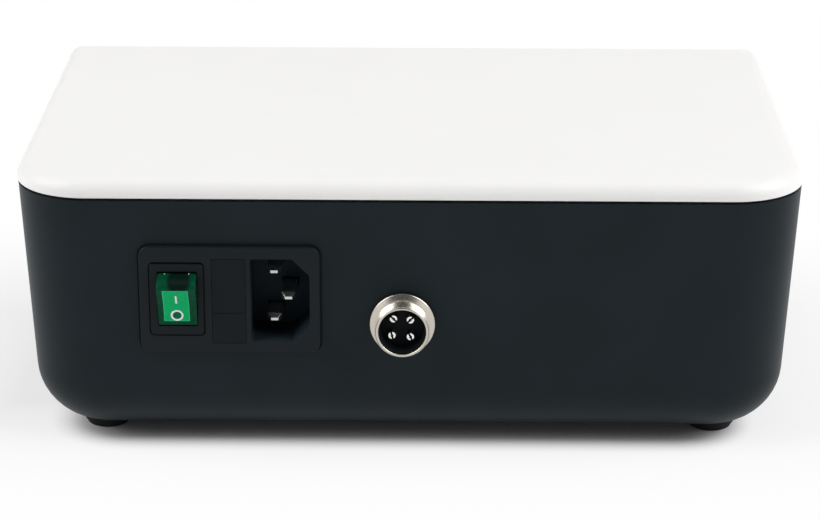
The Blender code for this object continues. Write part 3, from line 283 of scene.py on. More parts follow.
edge = add_node(sweep, "ShaderNodeMapRange", interpolation_type="SMOOTHSTEP", From_Min=edge_from,
                From_Max=edge_by)
join(sweep, distance_from(sweep, *footprint), edge.inputs["Value"])
reach = add_node(sweep, "ShaderNodeMapRange", From_Max=shadow_by)
join(sweep, distance_from(sweep, *shadow), reach.inputs["Value"])
curve = work_out(sweep, "POWER", reach.outputs["Result"], shadow_curve)
far_share = add_node(sweep, "ShaderNodeMapRange", To_Min=near_share)
join(sweep, curve, far_share.inputs["Value"])
whitening = work_out(sweep, "MULTIPLY", edge.outputs["Result"], far_share.outputs["Result"])
share = work_out(sweep, "MULTIPLY", whitening, background_rays(sweep.node_tree))
plain_white = add_node(sweep, "ShaderNodeEmission")
sweep_mix = add_node(sweep, "ShaderNodeMixShader")
join(sweep, share, sweep_mix.inputs[0])
join(sweep, sweep_shader.outputs[0], sweep_mix.inputs[1])
join(sweep, plain_white.outputs[0], sweep_mix.inputs[2])
join(sweep, sweep_mix.outputs[0], sweep.node_tree.nodes["Material Output"].inputs["Surface"])
floor.data.materials.append(sweep)
print("floor", floor_size, "m")

# %% Light
surround_level = 0.28
box_size = 0.90
box_places = {"left_box": (0.90, 0.25, 0.82), "right_box": (-0.90, 0.25, 0.82)}
box_powers = {"left_box": 9.3, "right_box": 10.7}
box_aim = (0.0, 0.0, 0.05)
card_middle = (0.0, 0.85, 1.05)
card_size = (1.5, 1.4)
card_tone = 0.04

world = bpy.data.worlds.new("studio")
world.use_nodes = True
bpy.context.scene.world = world
tree = world.node_tree
surround = tree.nodes["Background"]
surround.inputs["Color"].default_value = (1, 1, 1, 1)
level = tree.nodes.new("ShaderNodeMapRange")
level.inputs["To Min"].default_value = surround_level
tree.links.new(background_rays(tree), level.inputs["Value"])
tree.links.new(level.outputs["Result"], surround.inputs["Strength"])


def soft_lamp(name, place, aim, size, power):
    """A square lamp that looks at a point."""
    data = bpy.data.lights.new(name, "AREA")
    data.shape = "SQUARE"
    data.size = size
    data.energy = power
    lamp = new_object(name, data)
    lamp.matrix_world = (Matrix.Translation(place)
                         @ (Vector(place) - Vector(aim)).to_track_quat("Z", "Y").to_matrix().to_4x4())


for name, place in box_places.items():
    soft_lamp(name, place, box_aim, box_size, box_powers[name])

card_shape = bmesh.new()
bmesh.ops.create_grid(card_shape, x_segments=2, y_segments=2, size=0.5)
bmesh.ops.scale(card_shape, vec=(*card_size, 1), verts=card_shape.verts)
facing = Vector(card_middle).to_track_quat("Z", "Y").to_matrix().to_4x4()
bmesh.ops.transform(card_shape, matrix=Matrix.Translation(card_middle) @ facing, verts=card_shape.verts)
dark_card = new_object("dark_card", mesh_of(card_shape, "dark_card"))
card_felt = surface("card_felt", (card_tone, card_tone, card_tone), 0.9, specular=0.0)
dark_card.data.materials.append(card_felt)
dark_card.visible_camera = False
print("surround", surround_level, "soft boxes", box_powers, "W")

# %% [markdown]
# ## Shaping tools
# Nearly every piece starts as one flat face with rounded corners that is pushed out, or as a
# profile that is spun. The face is drawn as someone sees it who stands before that side of the
# unit, and one matrix then stands it up on the rear or the front. Cut-outs are booleans, applied
# at once, so each finished mesh is closed and its object stays at the origin.

# %% Flat outlines and prisms
corner_steps = 8
edge_steps = 3
merge_distance = 0.000001


def round_off(shape, geom, offset, steps, affect="VERTICES"):
    """Round corners or edges of a shape. One step cuts them straight."""
    bmesh.ops.bevel(shape, geom=geom, offset=offset, offset_type="OFFSET", segments=steps,
                    profile=0.5, affect=affect, material=-1)


def rounded_face(width, height, corner=0.0, steps=corner_steps):
    """One flat face, centred on zero, with its four corners rounded."""
    shape = bmesh.new()
    bmesh.ops.create_grid(shape, x_segments=1, y_segments=1, size=0.5)
    bmesh.ops.scale(shape, vec=(width, height, 1), verts=shape.verts)
    if corner:
        round_off(shape, shape.verts[:], corner, steps)
    return shape


def round_face(radius, steps=48):
    """One flat disc."""
    shape = bmesh.new()
    bmesh.ops.create_circle(shape, cap_ends=True, segments=steps, radius=radius)
    return shape


def new_ones(made, kind):
    """The vertices or faces that an operator made."""
    return [item for item in made["geom"] if isinstance(item, kind)]


def push(shape, start, end, edge=0.0):
    """Give a flat face a thickness from start to end, and round the edge at its end."""
    bmesh.ops.translate(shape, vec=(0, 0, start), verts=shape.verts)
    made = bmesh.ops.extrude_face_region(shape, geom=shape.faces[:])
    bmesh.ops.translate(shape, vec=(0, 0, end - start), verts=new_ones(made, bmesh.types.BMVert))
    if edge:
        rim = [line for face in new_ones(made, bmesh.types.BMFace) for line in face.edges]
        round_off(shape, rim, edge, edge_steps, "EDGES")
    bmesh.ops.recalc_face_normals(shape, faces=shape.faces)
    return shape


def grown(size, gap):
    """A width and height with a gap added all round."""
    return size[0] + 2 * gap, size[1] + 2 * gap


def slab(size, start, end, corner=0.0, steps=corner_steps, edge=0.0):
    """A prism with rounded corners, from its width and height."""
    return push(rounded_face(*size, corner, steps), start, end, edge)


def peg(radius, start, end, steps=48):
    """A round prism."""
    return push(round_face(radius, steps), start, end)


def turned(profile, steps=64, closed=True):
    """Spin (radius, height) points about the Z axis. An open profile ends on the axis."""
    shape = bmesh.new()
    points = [shape.verts.new((radius, 0, height)) for radius, height in profile]
    pairs = list(zip(points, points[1:])) + ([(points[-1], points[0])] if closed else [])
    lines = [shape.edges.new(pair) for pair in pairs]
    bmesh.ops.spin(shape, geom=points + lines, cent=(0, 0, 0), axis=(0, 0, 1), angle=math.tau,
                   steps=steps, use_merge=True)
    bmesh.ops.remove_doubles(shape, verts=shape.verts, dist=merge_distance)
    bmesh.ops.recalc_face_normals(shape, faces=shape.faces)
    return shape


print("prisms and turned shapes ready")

# %% Places, joins and cuts
stand_up = Matrix.Rotation(math.pi / 2, 4, "X")
half_turn = Matrix.Rotation(math.pi, 4, "Z")


def on_rear(shape, x, y, z, turn=0.0):
    """Stand a shape on the rear: its right is the unit's -X and its out is +Y."""
    place = Matrix.Translation((x, y, z)) @ half_turn @ stand_up @ Matrix.Rotation(turn, 4, "Z")
    bmesh.ops.transform(shape, matrix=place, verts=shape.verts)
    return shape


def on_front(shape, x, y, z, turn=0.0):
    """Stand a shape on the front: its right is the unit's +X and its out is -Y."""
    place = Matrix.Translation((x, y, z)) @ stand_up @ Matrix.Rotation(turn, 4, "Z")
    bmesh.ops.transform(shape, matrix=place, verts=shape.verts)
    return shape


def at(shape, x, y, z=0.0):
    """Move a shape."""
    bmesh.ops.translate(shape, vec=(x, y, z), verts=shape.verts)
    return shape


def rotated(shape, angle, axis="Z"):
    """Turn a shape about an axis through zero."""
    bmesh.ops.rotate(shape, cent=(0, 0, 0), matrix=Matrix.Rotation(angle, 3, axis), verts=shape.verts)
    return shape


def as_object(shape, name="draft"):
    """Put a shape in an object."""
    return new_object(name, mesh_of(shape, name))


def settled(holder, *tools):
    """The shape that an object's modifiers or its text give. The object and its tools go."""
    bpy.context.view_layer.update()
    mesh = bpy.data.meshes.new_from_object(
        holder.evaluated_get(bpy.context.evaluated_depsgraph_get()))
    for leftover in (holder, *tools):
        bpy.data.objects.remove(leftover, do_unlink=True)
    shape = bmesh.new()
    shape.from_mesh(mesh)
    return shape


def combined(target, others, operation):
    """Join shapes to a target or cut them out of it, and return the settled shape."""
    holder = as_object(target)
    tools = [as_object(other) for other in others]
    for tool in tools:
        step = holder.modifiers.new(tool.name, "BOOLEAN")
        step.operation = operation
        step.solver = "EXACT"
        step.object = tool
    whole = settled(holder, *tools)
    bmesh.ops.remove_doubles(whole, verts=whole.verts, dist=merge_distance)
    return whole


def cut(target, *others):
    """Cut the others out of the target."""
    return combined(target, others, "DIFFERENCE")


def joined(target, *others):
    """Make one solid of the target and the others."""
    return combined(target, others, "UNION")


def gathered(shapes):
    """Hold several shapes in one mesh."""
    whole = bmesh.new()
    for shape in shapes:
        mesh = mesh_of(shape, "draft")
        whole.from_mesh(mesh)
        bpy.data.meshes.remove(mesh)
    return whole


print("joins and cuts ready")

# %% Finishing a piece
smooth_angle = math.radians(35)


def piece(name, shape, finish, body="root", replaces=(), soften=0.0):
    """Turn a shape into a finished piece that rides on its body."""
    done = as_object(shape, name)
    done.data.materials.append(finish)
    done.data.shade_smooth()
    done.data.set_sharp_from_angle(angle=smooth_angle)
    if soften:
        edge = done.modifiers.new("soft_edges", "BEVEL")
        edge.width = soften
        edge.segments = 2
        edge.limit_method = "ANGLE"
        edge.angle_limit = smooth_angle
        edge.miter_outer = "MITER_ARC"
    flat = done.modifiers.new("flat_faces", "WEIGHTED_NORMAL")
    flat.keep_sharp = not soften
    flat.weight = 90
    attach(done, body)
    if replaces:
        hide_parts(*replaces)
    print(name, len(done.data.polygons), "faces")
    return done


# %% [markdown]
# ## The black tub
# The tub is one moulding: near-square corners in front, wide round ones behind, sides that lean
# in by three degrees going down, and a big round bottom edge. It could be sculpted from a cube by
# subdivision, but its radii are known, so one level outline is drawn and then extruded from level
# to level. At each level the four corner arcs are scaled about their centres and moved.

# %% Level outlines with their own corners
lid_width = 0.2180
lid_overhang = 0.00020
case_front = -0.06405
case_rear = 0.07225
case_height = 0.07115
seam_z = 0.07485
seam_gap = 0.00068
case_wall = 0.0030
rear_corner = 0.0207
front_corner = 0.0040
bottom_fillet = 0.0159
least_corner = 0.0012
side_lean = math.tan(math.radians(3))
rear_steps = 18
front_steps = 7


def case_level(drop, inset):
    """The tub's outline at a drop below the seam: half width, front, rear and corner radii."""
    half_width = lid_width / 2 - lid_overhang - side_lean * drop - inset
    return (half_width, case_front + inset, case_rear - inset,
            max(front_corner - inset, least_corner), max(rear_corner - inset, least_corner))


def lid_level(inset):
    """The lid's outline, moved in by an inset."""
    return (lid_width / 2 - inset, case_front - lid_overhang + inset,
            case_rear + lid_overhang - inset, max(front_corner + lid_overhang - inset, least_corner),
            max(rear_corner + lid_overhang - inset, least_corner))


def corner_arcs(size):
    """The centre and radius of each corner arc, by the side of X and of Y that it is on."""
    half_width, front, rear, front_radius, rear_radius = size
    arcs = {}
    for side in (-1, 1):
        arcs[side, 1] = (Vector((side * (half_width - rear_radius), rear - rear_radius, 0)),
                         rear_radius)
        arcs[side, -1] = (Vector((side * (half_width - front_radius), front + front_radius, 0)),
                          front_radius)
    return arcs


def level_face(size, z):
    """One level face with the outline's corners."""
    half_width, front, rear, front_radius, rear_radius = size
    shape = bmesh.new()
    bmesh.ops.create_grid(shape, x_segments=1, y_segments=1, size=0.5)
    bmesh.ops.scale(shape, vec=(2 * half_width, rear - front, 1), verts=shape.verts)
    for side, radius, steps in ((1, rear_radius, rear_steps), (-1, front_radius, front_steps)):
        ends = [vert for vert in shape.verts if vert.co.y * side > 0]
        round_off(shape, ends, radius, steps)
    return at(shape, 0, (front + rear) / 2, z)


def to_level(shape, face, old, new, z):
    """Extrude the end face to its next level, and fit its four corner arcs to the new outline."""
    inner = face if len(shape.faces) > 1 else None
    made = bmesh.ops.extrude_face_region(shape, geom=[face])
    ring = new_ones(made, bmesh.types.BMVert)
    face = new_ones(made, bmesh.types.BMFace)[0]
    if inner:
        bmesh.ops.delete(shape, geom=[inner], context="FACES_ONLY")
    middle = (old[1] + old[2]) / 2
    arcs = corner_arcs(new)
    for key, (centre, radius) in corner_arcs(old).items():
        group = [vert for vert in ring if vert.co.x * key[0] > 0 and (vert.co.y - middle) * key[1] > 0]
        new_centre, new_radius = arcs[key]
        grow = new_radius / radius
        bmesh.ops.scale(shape, vec=(grow, grow, 1), verts=group, space=Matrix.Translation(-centre))
        bmesh.ops.translate(shape, vec=new_centre - centre, verts=group)
    bmesh.ops.translate(shape, vec=(0, 0, z - ring[0].co.z), verts=ring)
    return face


def stacked(levels):
    """A closed shape through (size, z) levels."""
    shape = level_face(*levels[0])
    face = shape.faces[:][0]
    for (old, _), (new, z) in zip(levels, levels[1:]):
        face = to_level(shape, face, old, new, z)
    bmesh.ops.recalc_face_normals(shape, faces=shape.faces)
    return shape


def fillet_levels(bottom_drop, radius, wall, steps=12):
    """Levels down the round bottom edge."""
    levels = []
    for step in range(steps + 1):
        angle = math.pi / 2 * step / steps
        drop = bottom_drop - radius + radius * math.sin(angle)
        levels.append((case_level(drop, wall + radius * (1 - math.cos(angle))), seam_z - drop))
    return levels


print("tub", 2 * case_level(0, 0)[0], "m wide at the seam")

# %% The tub's skin, with what stands on its floor
rim_round = 0.0003
foot_height = 0.0037
floor_z = foot_height + case_wall
tower_top = 0.0632
tower_shoulder = 0.0030
tower_radius = 0.0050
pad_radius = 0.0081
corner_x = 0.0865
front_feet_y = -0.04235
rear_feet_y = 0.05055
screw_hole = 0.0017
screw_access = 0.0033
board_top = 0.0136
boss_height = 0.0050
boss_radius = 0.0030
boss_pin = 0.0013
pin_proud = 0.0008
floor_board_inner = 0.0060
floor_board_outer = 0.0920
floor_board_front = -0.03285
floor_board_rear = 0.04105
board_hole_inset = 0.0050
over = 0.0010
corners = {"front_left": (-corner_x, front_feet_y), "front_right": (corner_x, front_feet_y),
           "rear_left": (-corner_x, rear_feet_y), "rear_right": (corner_x, rear_feet_y)}

outside = [(case_level(seam_gap, rim_round), seam_z - seam_gap),
           (case_level(seam_gap + rim_round / 3, rim_round / 3), seam_z - seam_gap - rim_round / 3),
           (case_level(seam_gap + rim_round, 0), seam_z - seam_gap - rim_round)]
tub = stacked(outside + fillet_levels(case_height, bottom_fillet, 0))
hollow = stacked([(case_level(-over, case_wall), seam_z + over)]
                 + fillet_levels(case_height - case_wall, bottom_fillet - case_wall, case_wall))
tub = cut(tub, hollow)
posts = []
half_wall = case_wall / 2
for x, y in corners.values():
    posts.append(at(peg(tower_radius, foot_height + half_wall, tower_top), x, y))
    posts.append(at(peg(pad_radius, foot_height, foot_height + half_wall), x, y))
boss_profile = [(0, foot_height + half_wall), (boss_radius, foot_height + half_wall),
                (boss_radius, floor_z + boss_height), (boss_pin, floor_z + boss_height),
                (boss_pin, board_top + pin_proud), (0, board_top + pin_proud)]
for side in (-1, 1):
    for x in (floor_board_inner + board_hole_inset, floor_board_outer - board_hole_inset):
        for y in (floor_board_front + board_hole_inset, floor_board_rear - board_hole_inset):
            posts.append(at(turned(boss_profile, 24, closed=False), side * x, y))
tub = joined(tub, *posts)
print("tub with", len(posts), "posts")

# %% Openings in the tub's walls
clearance = 0.0003
module_x, module_z = 0.0492, 0.0462
module_body = (0.0470, 0.0276)
pedal_x, pedal_z = 0.0017, 0.0392
barrel_radius = 0.0076
panel_size = (0.1814, 0.0514)
panel_corner = 0.0050
panel_z = 0.0465
panel_ledge = 0.0030
rebate_depth = 0.0009
recess_gap = 0.0005
recess_depth = 0.0006
module_flange = (0.0495, 0.0309)
module_corner = 0.0028
flange_right, flange_up = 0.00015, -0.00006
recess = at(slab((module_flange[0] + 2 * recess_gap, module_flange[1] + recess_gap), -recess_depth,
                 over, module_corner + recess_gap / 2), flange_right, flange_up - recess_gap / 4)
holes = [on_rear(recess, module_x, case_rear, module_z),
         on_rear(slab(grown(module_body, clearance), -case_wall - over, over, module_corner),
                 module_x, case_rear, module_z),
         on_rear(peg(barrel_radius + clearance, -case_wall - over, over), pedal_x, case_rear, pedal_z),
         on_front(slab(grown(panel_size, -panel_ledge), -case_wall - over, over, panel_corner),
                  0, case_front, panel_z),
         on_front(slab(grown(panel_size, clearance), -rebate_depth, over, panel_corner + clearance),
                  0, case_front, panel_z)]
for x, y in corners.values():
    holes.append(at(peg(screw_access, foot_height - over, tower_top - tower_shoulder), x, y))
    holes.append(at(peg(screw_hole, foot_height, seam_z, 24), x, y))
tub = cut(tub, *holes)
piece("tub", tub, case_black, replaces=["lower_case"])

# %% [markdown]
# ## The white lid
# The lid is a flat slab with a soft round top edge. A lip under it drops inside the tub, and a
# boss over each screw tower takes the screw. The same level outlines make it, from the lip's
# inside round to the top.

# %% Lid
lid_thickness = 0.00485
lid_round = 0.0042
lid_roof = 0.0024
lip_depth = 0.0035
lip_thickness = 0.0016
lower_round = 0.00020
lid_boss_radius = 0.0040
screw_length = 0.0110
lid_steps = 10
lip_outside = lid_overhang + case_wall + clearance + lip_depth * side_lean
lip_inside = lip_outside + lip_thickness

rise = lid_thickness - lid_round
levels = [(lid_level(lip_inside), seam_z + lid_thickness - lid_roof),
          (lid_level(lip_inside), seam_z - lip_depth),
          (lid_level(lip_outside), seam_z - lip_depth),
          (lid_level(lip_outside), seam_z),
          (lid_level(lower_round), seam_z), (lid_level(0), seam_z + lower_round)]
for step in range(1, lid_steps + 1):
    angle = math.pi / 2 * step / lid_steps
    levels.append((lid_level(lid_round * (1 - math.cos(angle))),
                   seam_z + rise + lid_round * math.sin(angle)))
lid = stacked(levels)
bosses = [at(peg(lid_boss_radius, tower_top + clearance, seam_z + lid_thickness - lid_roof / 2), x, y)
          for x, y in corners.values()]
screw_end = tower_top - tower_shoulder - clearance + screw_length
screw_bores = [at(peg(screw_hole, tower_top - over, screw_end + clearance, 24), x, y)
               for x, y in corners.values()]
lid = cut(joined(lid, *bosses), *screw_bores)
piece("lid", lid, lid_white, replaces=["top_cover"])

# %% [markdown]
# ## Feet
# Four dark rubber cones stand under the corners. Each is a spun profile with a plug that closes
# the screw's hole.

# %% Feet
foot_top = foot_height - clearance
foot_profile = [(0, 0.0002), (0.0040, 0.0002), (0.0044, 0), (0.0056, 0), (0.0060, 0.0002),
                (0.0062, 0.0006), (0.0078, foot_top - 0.0003), (0.0076, foot_top), (0.0030, foot_top),
                (0.0030, foot_top + 0.0040), (0, foot_top + 0.0040)]
for name, (x, y) in corners.items():
    piece("rubber_foot_" + name, at(turned(foot_profile, closed=False), x, y), foot_rubber,
          replaces=["foot_" + name])

# %% [markdown]
# ## The mains module
# One black moulding on the rear holds a lit rocker switch, a fuse drawer and the mains inlet. It
# clips in behind its flange. Its bays are cut from a solid body, each from an outline of its own,
# and a soft bevel takes the sharpness off every mouth, as a mould does.

# %% Module housing
flange_thickness = 0.0015
module_depth = 0.0280
module_face = case_rear + clearance + flange_thickness
switch_right, switch_up = -0.0143, 0.0003
bezel_up = -0.0001
drawer_right, drawer_up = -0.0001, -0.0004
inlet_right, inlet_up = 0.0139, -0.0002
bezel_size = (0.0146, 0.0207)
bezel_corner = 0.0010
bezel_moat = 0.0004
moat_depth = 0.0009
switch_size = (0.0130, 0.0188)
drawer_size = (0.0092, 0.0246)
drawer_depth = 0.0230
drawer_gap = 0.00007
inlet_size = (0.0164, 0.0243)
inlet_corner = 0.0010
inlet_cut = 0.0048
inlet_depth = 0.0155
pin_size = (0.0040, 0.0020)
pins = {"line_pin": (inlet_right - 0.0018, inlet_up + 0.0070, 0.0052),
        "neutral_pin": (inlet_right - 0.0018, inlet_up - 0.0070, 0.0052),
        "earth_pin": (inlet_right + 0.0022, inlet_up, 0.0034)}


def in_module(shape):
    """Stand a shape in the mains module."""
    return on_rear(shape, module_x, module_face, module_z)


def inlet_face():
    """The inlet's outline: round corners on its left, cut corners on its right."""
    shape = rounded_face(*inlet_size)
    for side, offset, steps in ((-1, inlet_corner, 5), (1, inlet_cut, 1)):
        ends = [vert for vert in shape.verts if vert.co.x * side > 0]
        round_off(shape, ends, offset, steps)
    return shape


housing = at(slab(module_flange, -flange_thickness - 2 * clearance, 0, module_corner, 12,
                  edge=0.0004), flange_right, flange_up)
body = slab(module_body, -module_depth, -flange_thickness / 2, module_corner - clearance)
bays = [at(slab(grown(switch_size, clearance), -module_depth - over, over), switch_right, switch_up),
        at(slab(grown(bezel_size, bezel_moat), -moat_depth, over, bezel_corner + bezel_moat),
           switch_right, switch_up + bezel_up),
        at(slab(grown(drawer_size, drawer_gap), -drawer_depth - clearance, over, 0.0003, 3),
           drawer_right, drawer_up),
        at(push(inlet_face(), -inlet_depth, over), inlet_right, inlet_up)]
for right, up, _ in pins.values():
    pin_hole = slab(grown(pin_size, clearance), -module_depth - over, -inlet_depth + over)
    bays.append(at(pin_hole, right, up))
housing = cut(joined(housing, body), *bays)
# Faces inside the inlet's cavity get the second finish, the lighter copy of the black: painted light in
# the cavity.
for face in housing.faces:
    middle = face.calc_center_median()
    inside = (abs(middle.x - inlet_right) < inlet_size[0] / 2 + merge_distance
              and abs(middle.y - inlet_up) < inlet_size[1] / 2 + merge_distance)
    face.material_index = int(inside and -inlet_depth - over < middle.z < -flange_thickness / 2)
module = piece("module_housing", in_module(housing), module_black,
               replaces=["inlet_housing"], soften=0.00012)
module.data.materials.append(cavity_painted_light)

# %% Inlet pins
tip_length = 0.0013
tip_drop = -0.0004
tip_share = (0.50, 0.40, 1)
tab_thickness = 0.0010
tab_length = 0.0080

for name, (right, up, recess) in pins.items():
    blade = slab(pin_size, -module_depth, -recess - tip_length, 0.0002, 3)
    front = max(blade.faces, key=lambda face: face.calc_center_median().z)
    tip = new_ones(bmesh.ops.extrude_face_region(blade, geom=[front]), bmesh.types.BMVert)
    bmesh.ops.delete(blade, geom=[front], context="FACES_ONLY")
    bmesh.ops.scale(blade, vec=tip_share, verts=tip)
    bmesh.ops.translate(blade, vec=(0, tip_drop, tip_length), verts=tip)
    tab = slab((pin_size[0], tab_thickness), -module_depth - tab_length, -module_depth + clearance)
    blade = at(joined(blade, tab), right, up)
    piece("mains_" + name, in_module(blade), steel, replaces=[name], soften=0.00008)

# %% [markdown]
# ## The rocker switch
# The rocker is a slice of a drum with a shallow valley across its front, in clear dark green
# plastic with a brighter window that carries a bar and a ring. It rests tilted, with its upper
# end out, because the switch is off. A drum is cut by a wedge to make the valley, and thin plates
# laid on the two slopes make the window and its marks. They all ride on the rocker.

# %% Bezel and switch body
bezel_top = 0.0005
switch_end = clearance - 0.0150
switch_floor = 0.0014
rocker_width = 0.0106
rocker_shift = 0.0002
rocker_radius = 0.0075
pivot_out = -0.0005
axle_radius = 0.0005
axle_length = 0.0006
spade_size = (0.0048, 0.0008)
spade_length = 0.0070
spade_pitch = 0.0065


def turned_across(shape):
    """Lay a shape's axis across, from left to right."""
    return rotated(shape, math.radians(-90), "Y")


bezel = slab(bezel_size, -moat_depth + clearance, bezel_top, bezel_corner, edge=0.00025)
bezel = joined(at(bezel, 0, bezel_up), slab(switch_size, switch_end, clearance, 0.0003, 3))
well = at(slab((rocker_width + clearance, 2 * rocker_radius + 3 * clearance),
               switch_end + switch_floor, bezel_top + over, 0.0004, 4), rocker_shift, clearance / 2)
reach = rocker_width / 2 + axle_length + clearance
axle_hole = at(turned_across(peg(axle_radius + clearance, -reach, reach, 24)), rocker_shift, 0,
               pivot_out)
bezel = at(cut(bezel, well, axle_hole), switch_right, switch_up)
piece("switch_bezel", in_module(bezel), bezel_black, replaces=["switch_body"], soften=0.0001)

for row, name in ((-1, "low"), (0, "middle"), (1, "top")):
    spade = slab(spade_size, switch_end - spade_length, switch_end - 0.00005, 0.0002, 2)
    at(spade, switch_right, switch_up + row * spade_pitch)
    piece("switch_spade_" + name, in_module(spade), nickel)

# %% Green finishes of the rocker


def clear_green(name, colour, shade, roughness, core=None):
    """Tinted clear plastic: gloss over a deep colour, with an optional painted shade where its hollow
    inside shows dark through it.
    """
    material, shader = new_finish(name)
    slow = between(material, object_noise(material, 900.0, 2.0), 0.0, 1.0)
    colour_out = tint_between(material, slow, [value * shade for value in colour], colour)
    if core:
        middle, reach, dark = core
        place = add_node(material, "ShaderNodeMapping", vector_type="TEXTURE")
        place.inputs["Location"].default_value = middle
        place.inputs["Scale"].default_value = reach
        join(material, on_piece(material), place.inputs["Vector"])
        away = add_node(material, "ShaderNodeVectorMath", operation="LENGTH")
        join(material, place.outputs["Vector"], away.inputs[0])
        mask = add_node(material, "ShaderNodeMapRange", interpolation_type="SMOOTHSTEP",
                        From_Min=0.75, From_Max=1.15)
        join(material, away.outputs["Value"], mask.inputs["Value"])
        colour_out = tint_between(material, mask.outputs["Result"], dark, colour_out)
    join(material, colour_out, shader.inputs["Base Color"])
    gloss = between(material, object_noise(material, 1500.0), roughness - 0.04, roughness + 0.04)
    join(material, gloss, shader.inputs["Roughness"])
    shader.inputs["Specular IOR Level"].default_value = 0.06
    return material


# The rocker's finish darkens a patch round this point in its upper end. This is painted shade for the
# hollow inside, which shows dark through the clear plastic.
hollow_shade_middle = (module_x - switch_right - 0.0009, module_face + 0.0040, module_z + 0.0070)
rocker_green = clear_green("rocker_green", (0.0010, 0.072, 0.032), 0.7, 0.25,
                           core=(hollow_shade_middle, (0.0034, 0.0070, 0.0034), (0.003, 0.012, 0.009)))
window_green = clear_green("window_green", (0.003, 0.46, 0.150), 0.90, 0.35)
window_edge = clear_green("window_edge", (0.040, 0.54, 0.240), 0.92, 0.35)
ring_green = clear_green("ring_green", (0.003, 0.150, 0.070), 0.75, 0.35)
print("greens ready")

# %% Rocker, window and marks
half_length = 0.00645
rocker_front = 0.0038
rocker_back = 0.0032
valley_slope = math.radians(9)
tilt = math.radians(22)
valley = rocker_front - half_length * math.tan(valley_slope)
mark_height = 0.00006
mark_right = -rocker_shift
print_right = mark_right + 0.0001
ring_along = -0.0033
ring_inner, ring_outer = 0.00122, 0.00175
pip_radius = 0.00018
pip_aside = 0.0033
pip_angle = math.radians(83) + tilt


def on_rocker(shape):
    """Tilt a shape drawn about the pivot, and stand it in the switch."""
    rotated(shape, tilt, "X")
    return in_module(at(shape, switch_right + rocker_shift, switch_up, pivot_out))


def on_slope(shape, slope, right, along, lift=0.0):
    """Lay a flat shape on the rocker's upper slope (1) or lower slope (-1)."""
    at(shape, right, along, lift)
    lean = Matrix.Translation((0, 0, valley)) @ Matrix.Rotation(slope * valley_slope, 4, "X")
    bmesh.ops.transform(shape, matrix=lean, verts=shape.verts)
    return shape


def slope_plate(width, low, high, thickness):
    """A thin plate bent over the valley, between two heights."""
    upper = on_slope(slab((width, high), -thickness, thickness), 1, mark_right, high / 2)
    lower = on_slope(slab((width, -low), -thickness, thickness), -1, mark_right, low / 2)
    return joined(upper, lower)


drum = turned_across(peg(rocker_radius, -rocker_width / 2, rocker_width / 2, 96))
rim = [line for line in drum.edges if abs(abs(line.verts[0].co.x) - rocker_width / 2) < merge_distance
       and abs(abs(line.verts[1].co.x) - rocker_width / 2) < merge_distance
       and line.verts[0].co.x * line.verts[1].co.x > 0]
round_off(drum, rim, 0.0003, edge_steps, "EDGES")
far = 0.0120
wedge = []
for slope in (1, -1):
    half = slab((2 * rocker_width, far), 0, far)
    wedge.append(on_slope(half, slope, 0, slope * far / 2))
behind = slab((2 * rocker_width, 2 * far), -far, -rocker_back)
rocker = cut(drum, *wedge, behind)
axle = turned_across(peg(axle_radius, -reach + clearance, reach - clearance, 24))
rocker = joined(rocker, axle)
piece("rocker", on_rocker(rocker), rocker_green, body="rocker", replaces=["power_rocker"],
      soften=0.00025)
piece("rocker_window_edge", on_rocker(slope_plate(0.0071, -0.0053, 0.00625, mark_height)),
      window_edge, body="rocker")
piece("rocker_window", on_rocker(slope_plate(0.0065, -0.0050, 0.00595, 2 * mark_height)),
      window_green, body="rocker")
bar = slab((0.00048, 0.0032), 0, 3 * mark_height, 0.0002, 4)
piece("rocker_bar", on_rocker(on_slope(bar, 1, print_right, 0.00255)), print_white,
      body="rocker")
ring = turned([(ring_inner, 0), (ring_outer, 0), (ring_outer, 3 * mark_height),
               (ring_inner, 3 * mark_height)], 48)
piece("rocker_ring", on_rocker(on_slope(ring, -1, print_right, ring_along)), print_white,
      body="rocker")
# Two bright tin beads at the upper corners of the rocker's end are there only to give small glints:
# painted highlights.
glint_pips = []
for side in (-1, 1):
    pip = bmesh.new()
    bmesh.ops.create_uvsphere(pip, u_segments=16, v_segments=10, radius=pip_radius)
    glint_pips.append(at(pip, side * pip_aside, rocker_radius * math.sin(pip_angle),
                   rocker_radius * math.cos(pip_angle)))
piece("rocker_pips", on_rocker(gathered(glint_pips)), tin, body="rocker")
disc = peg(0.00124, 0, 2.5 * mark_height, 40)
piece("rocker_ring_disc", on_rocker(on_slope(disc, -1, print_right, ring_along)), ring_green,
      body="rocker")

# %% [markdown]
# ## The fuse drawer
# Beside the switch, a narrow drawer slides out with two glass fuses lying in it upright. It is
# nearly flush, so only a hairline shows, with a finger groove low on its face.

# %% Drawer and fuses
groove_up = -0.0034
groove_height = 0.0005
groove_depth = 0.00012
fuse_radius = 0.0026
fuse_length = 0.0200
cap_length = 0.0052
fuse_depths = {"spare_fuse": 0.0070, "active_fuse": 0.0170}
trough = 2 * (fuse_radius + clearance)
fuse_right = drawer_size[0] / 2 - clearance - fuse_radius

drawer = slab(drawer_size, -drawer_depth, 0, 0.0003, 3, edge=0.0001)
troughs = [at(slab((trough + over, fuse_length + 2 * clearance), -depth - trough / 2,
                   -depth + trough / 2), drawer_size[0] / 2 - (trough - over) / 2, 0)
           for depth in fuse_depths.values()]
groove = at(slab((2 * drawer_size[0], groove_height), -groove_depth, over), 0, groove_up)
drawer = at(cut(drawer, groove, *troughs), drawer_right, drawer_up)
piece("drawer", in_module(drawer), drawer_black, body="fuse_drawer",
      replaces=["fuse_drawer"], soften=0.0001)

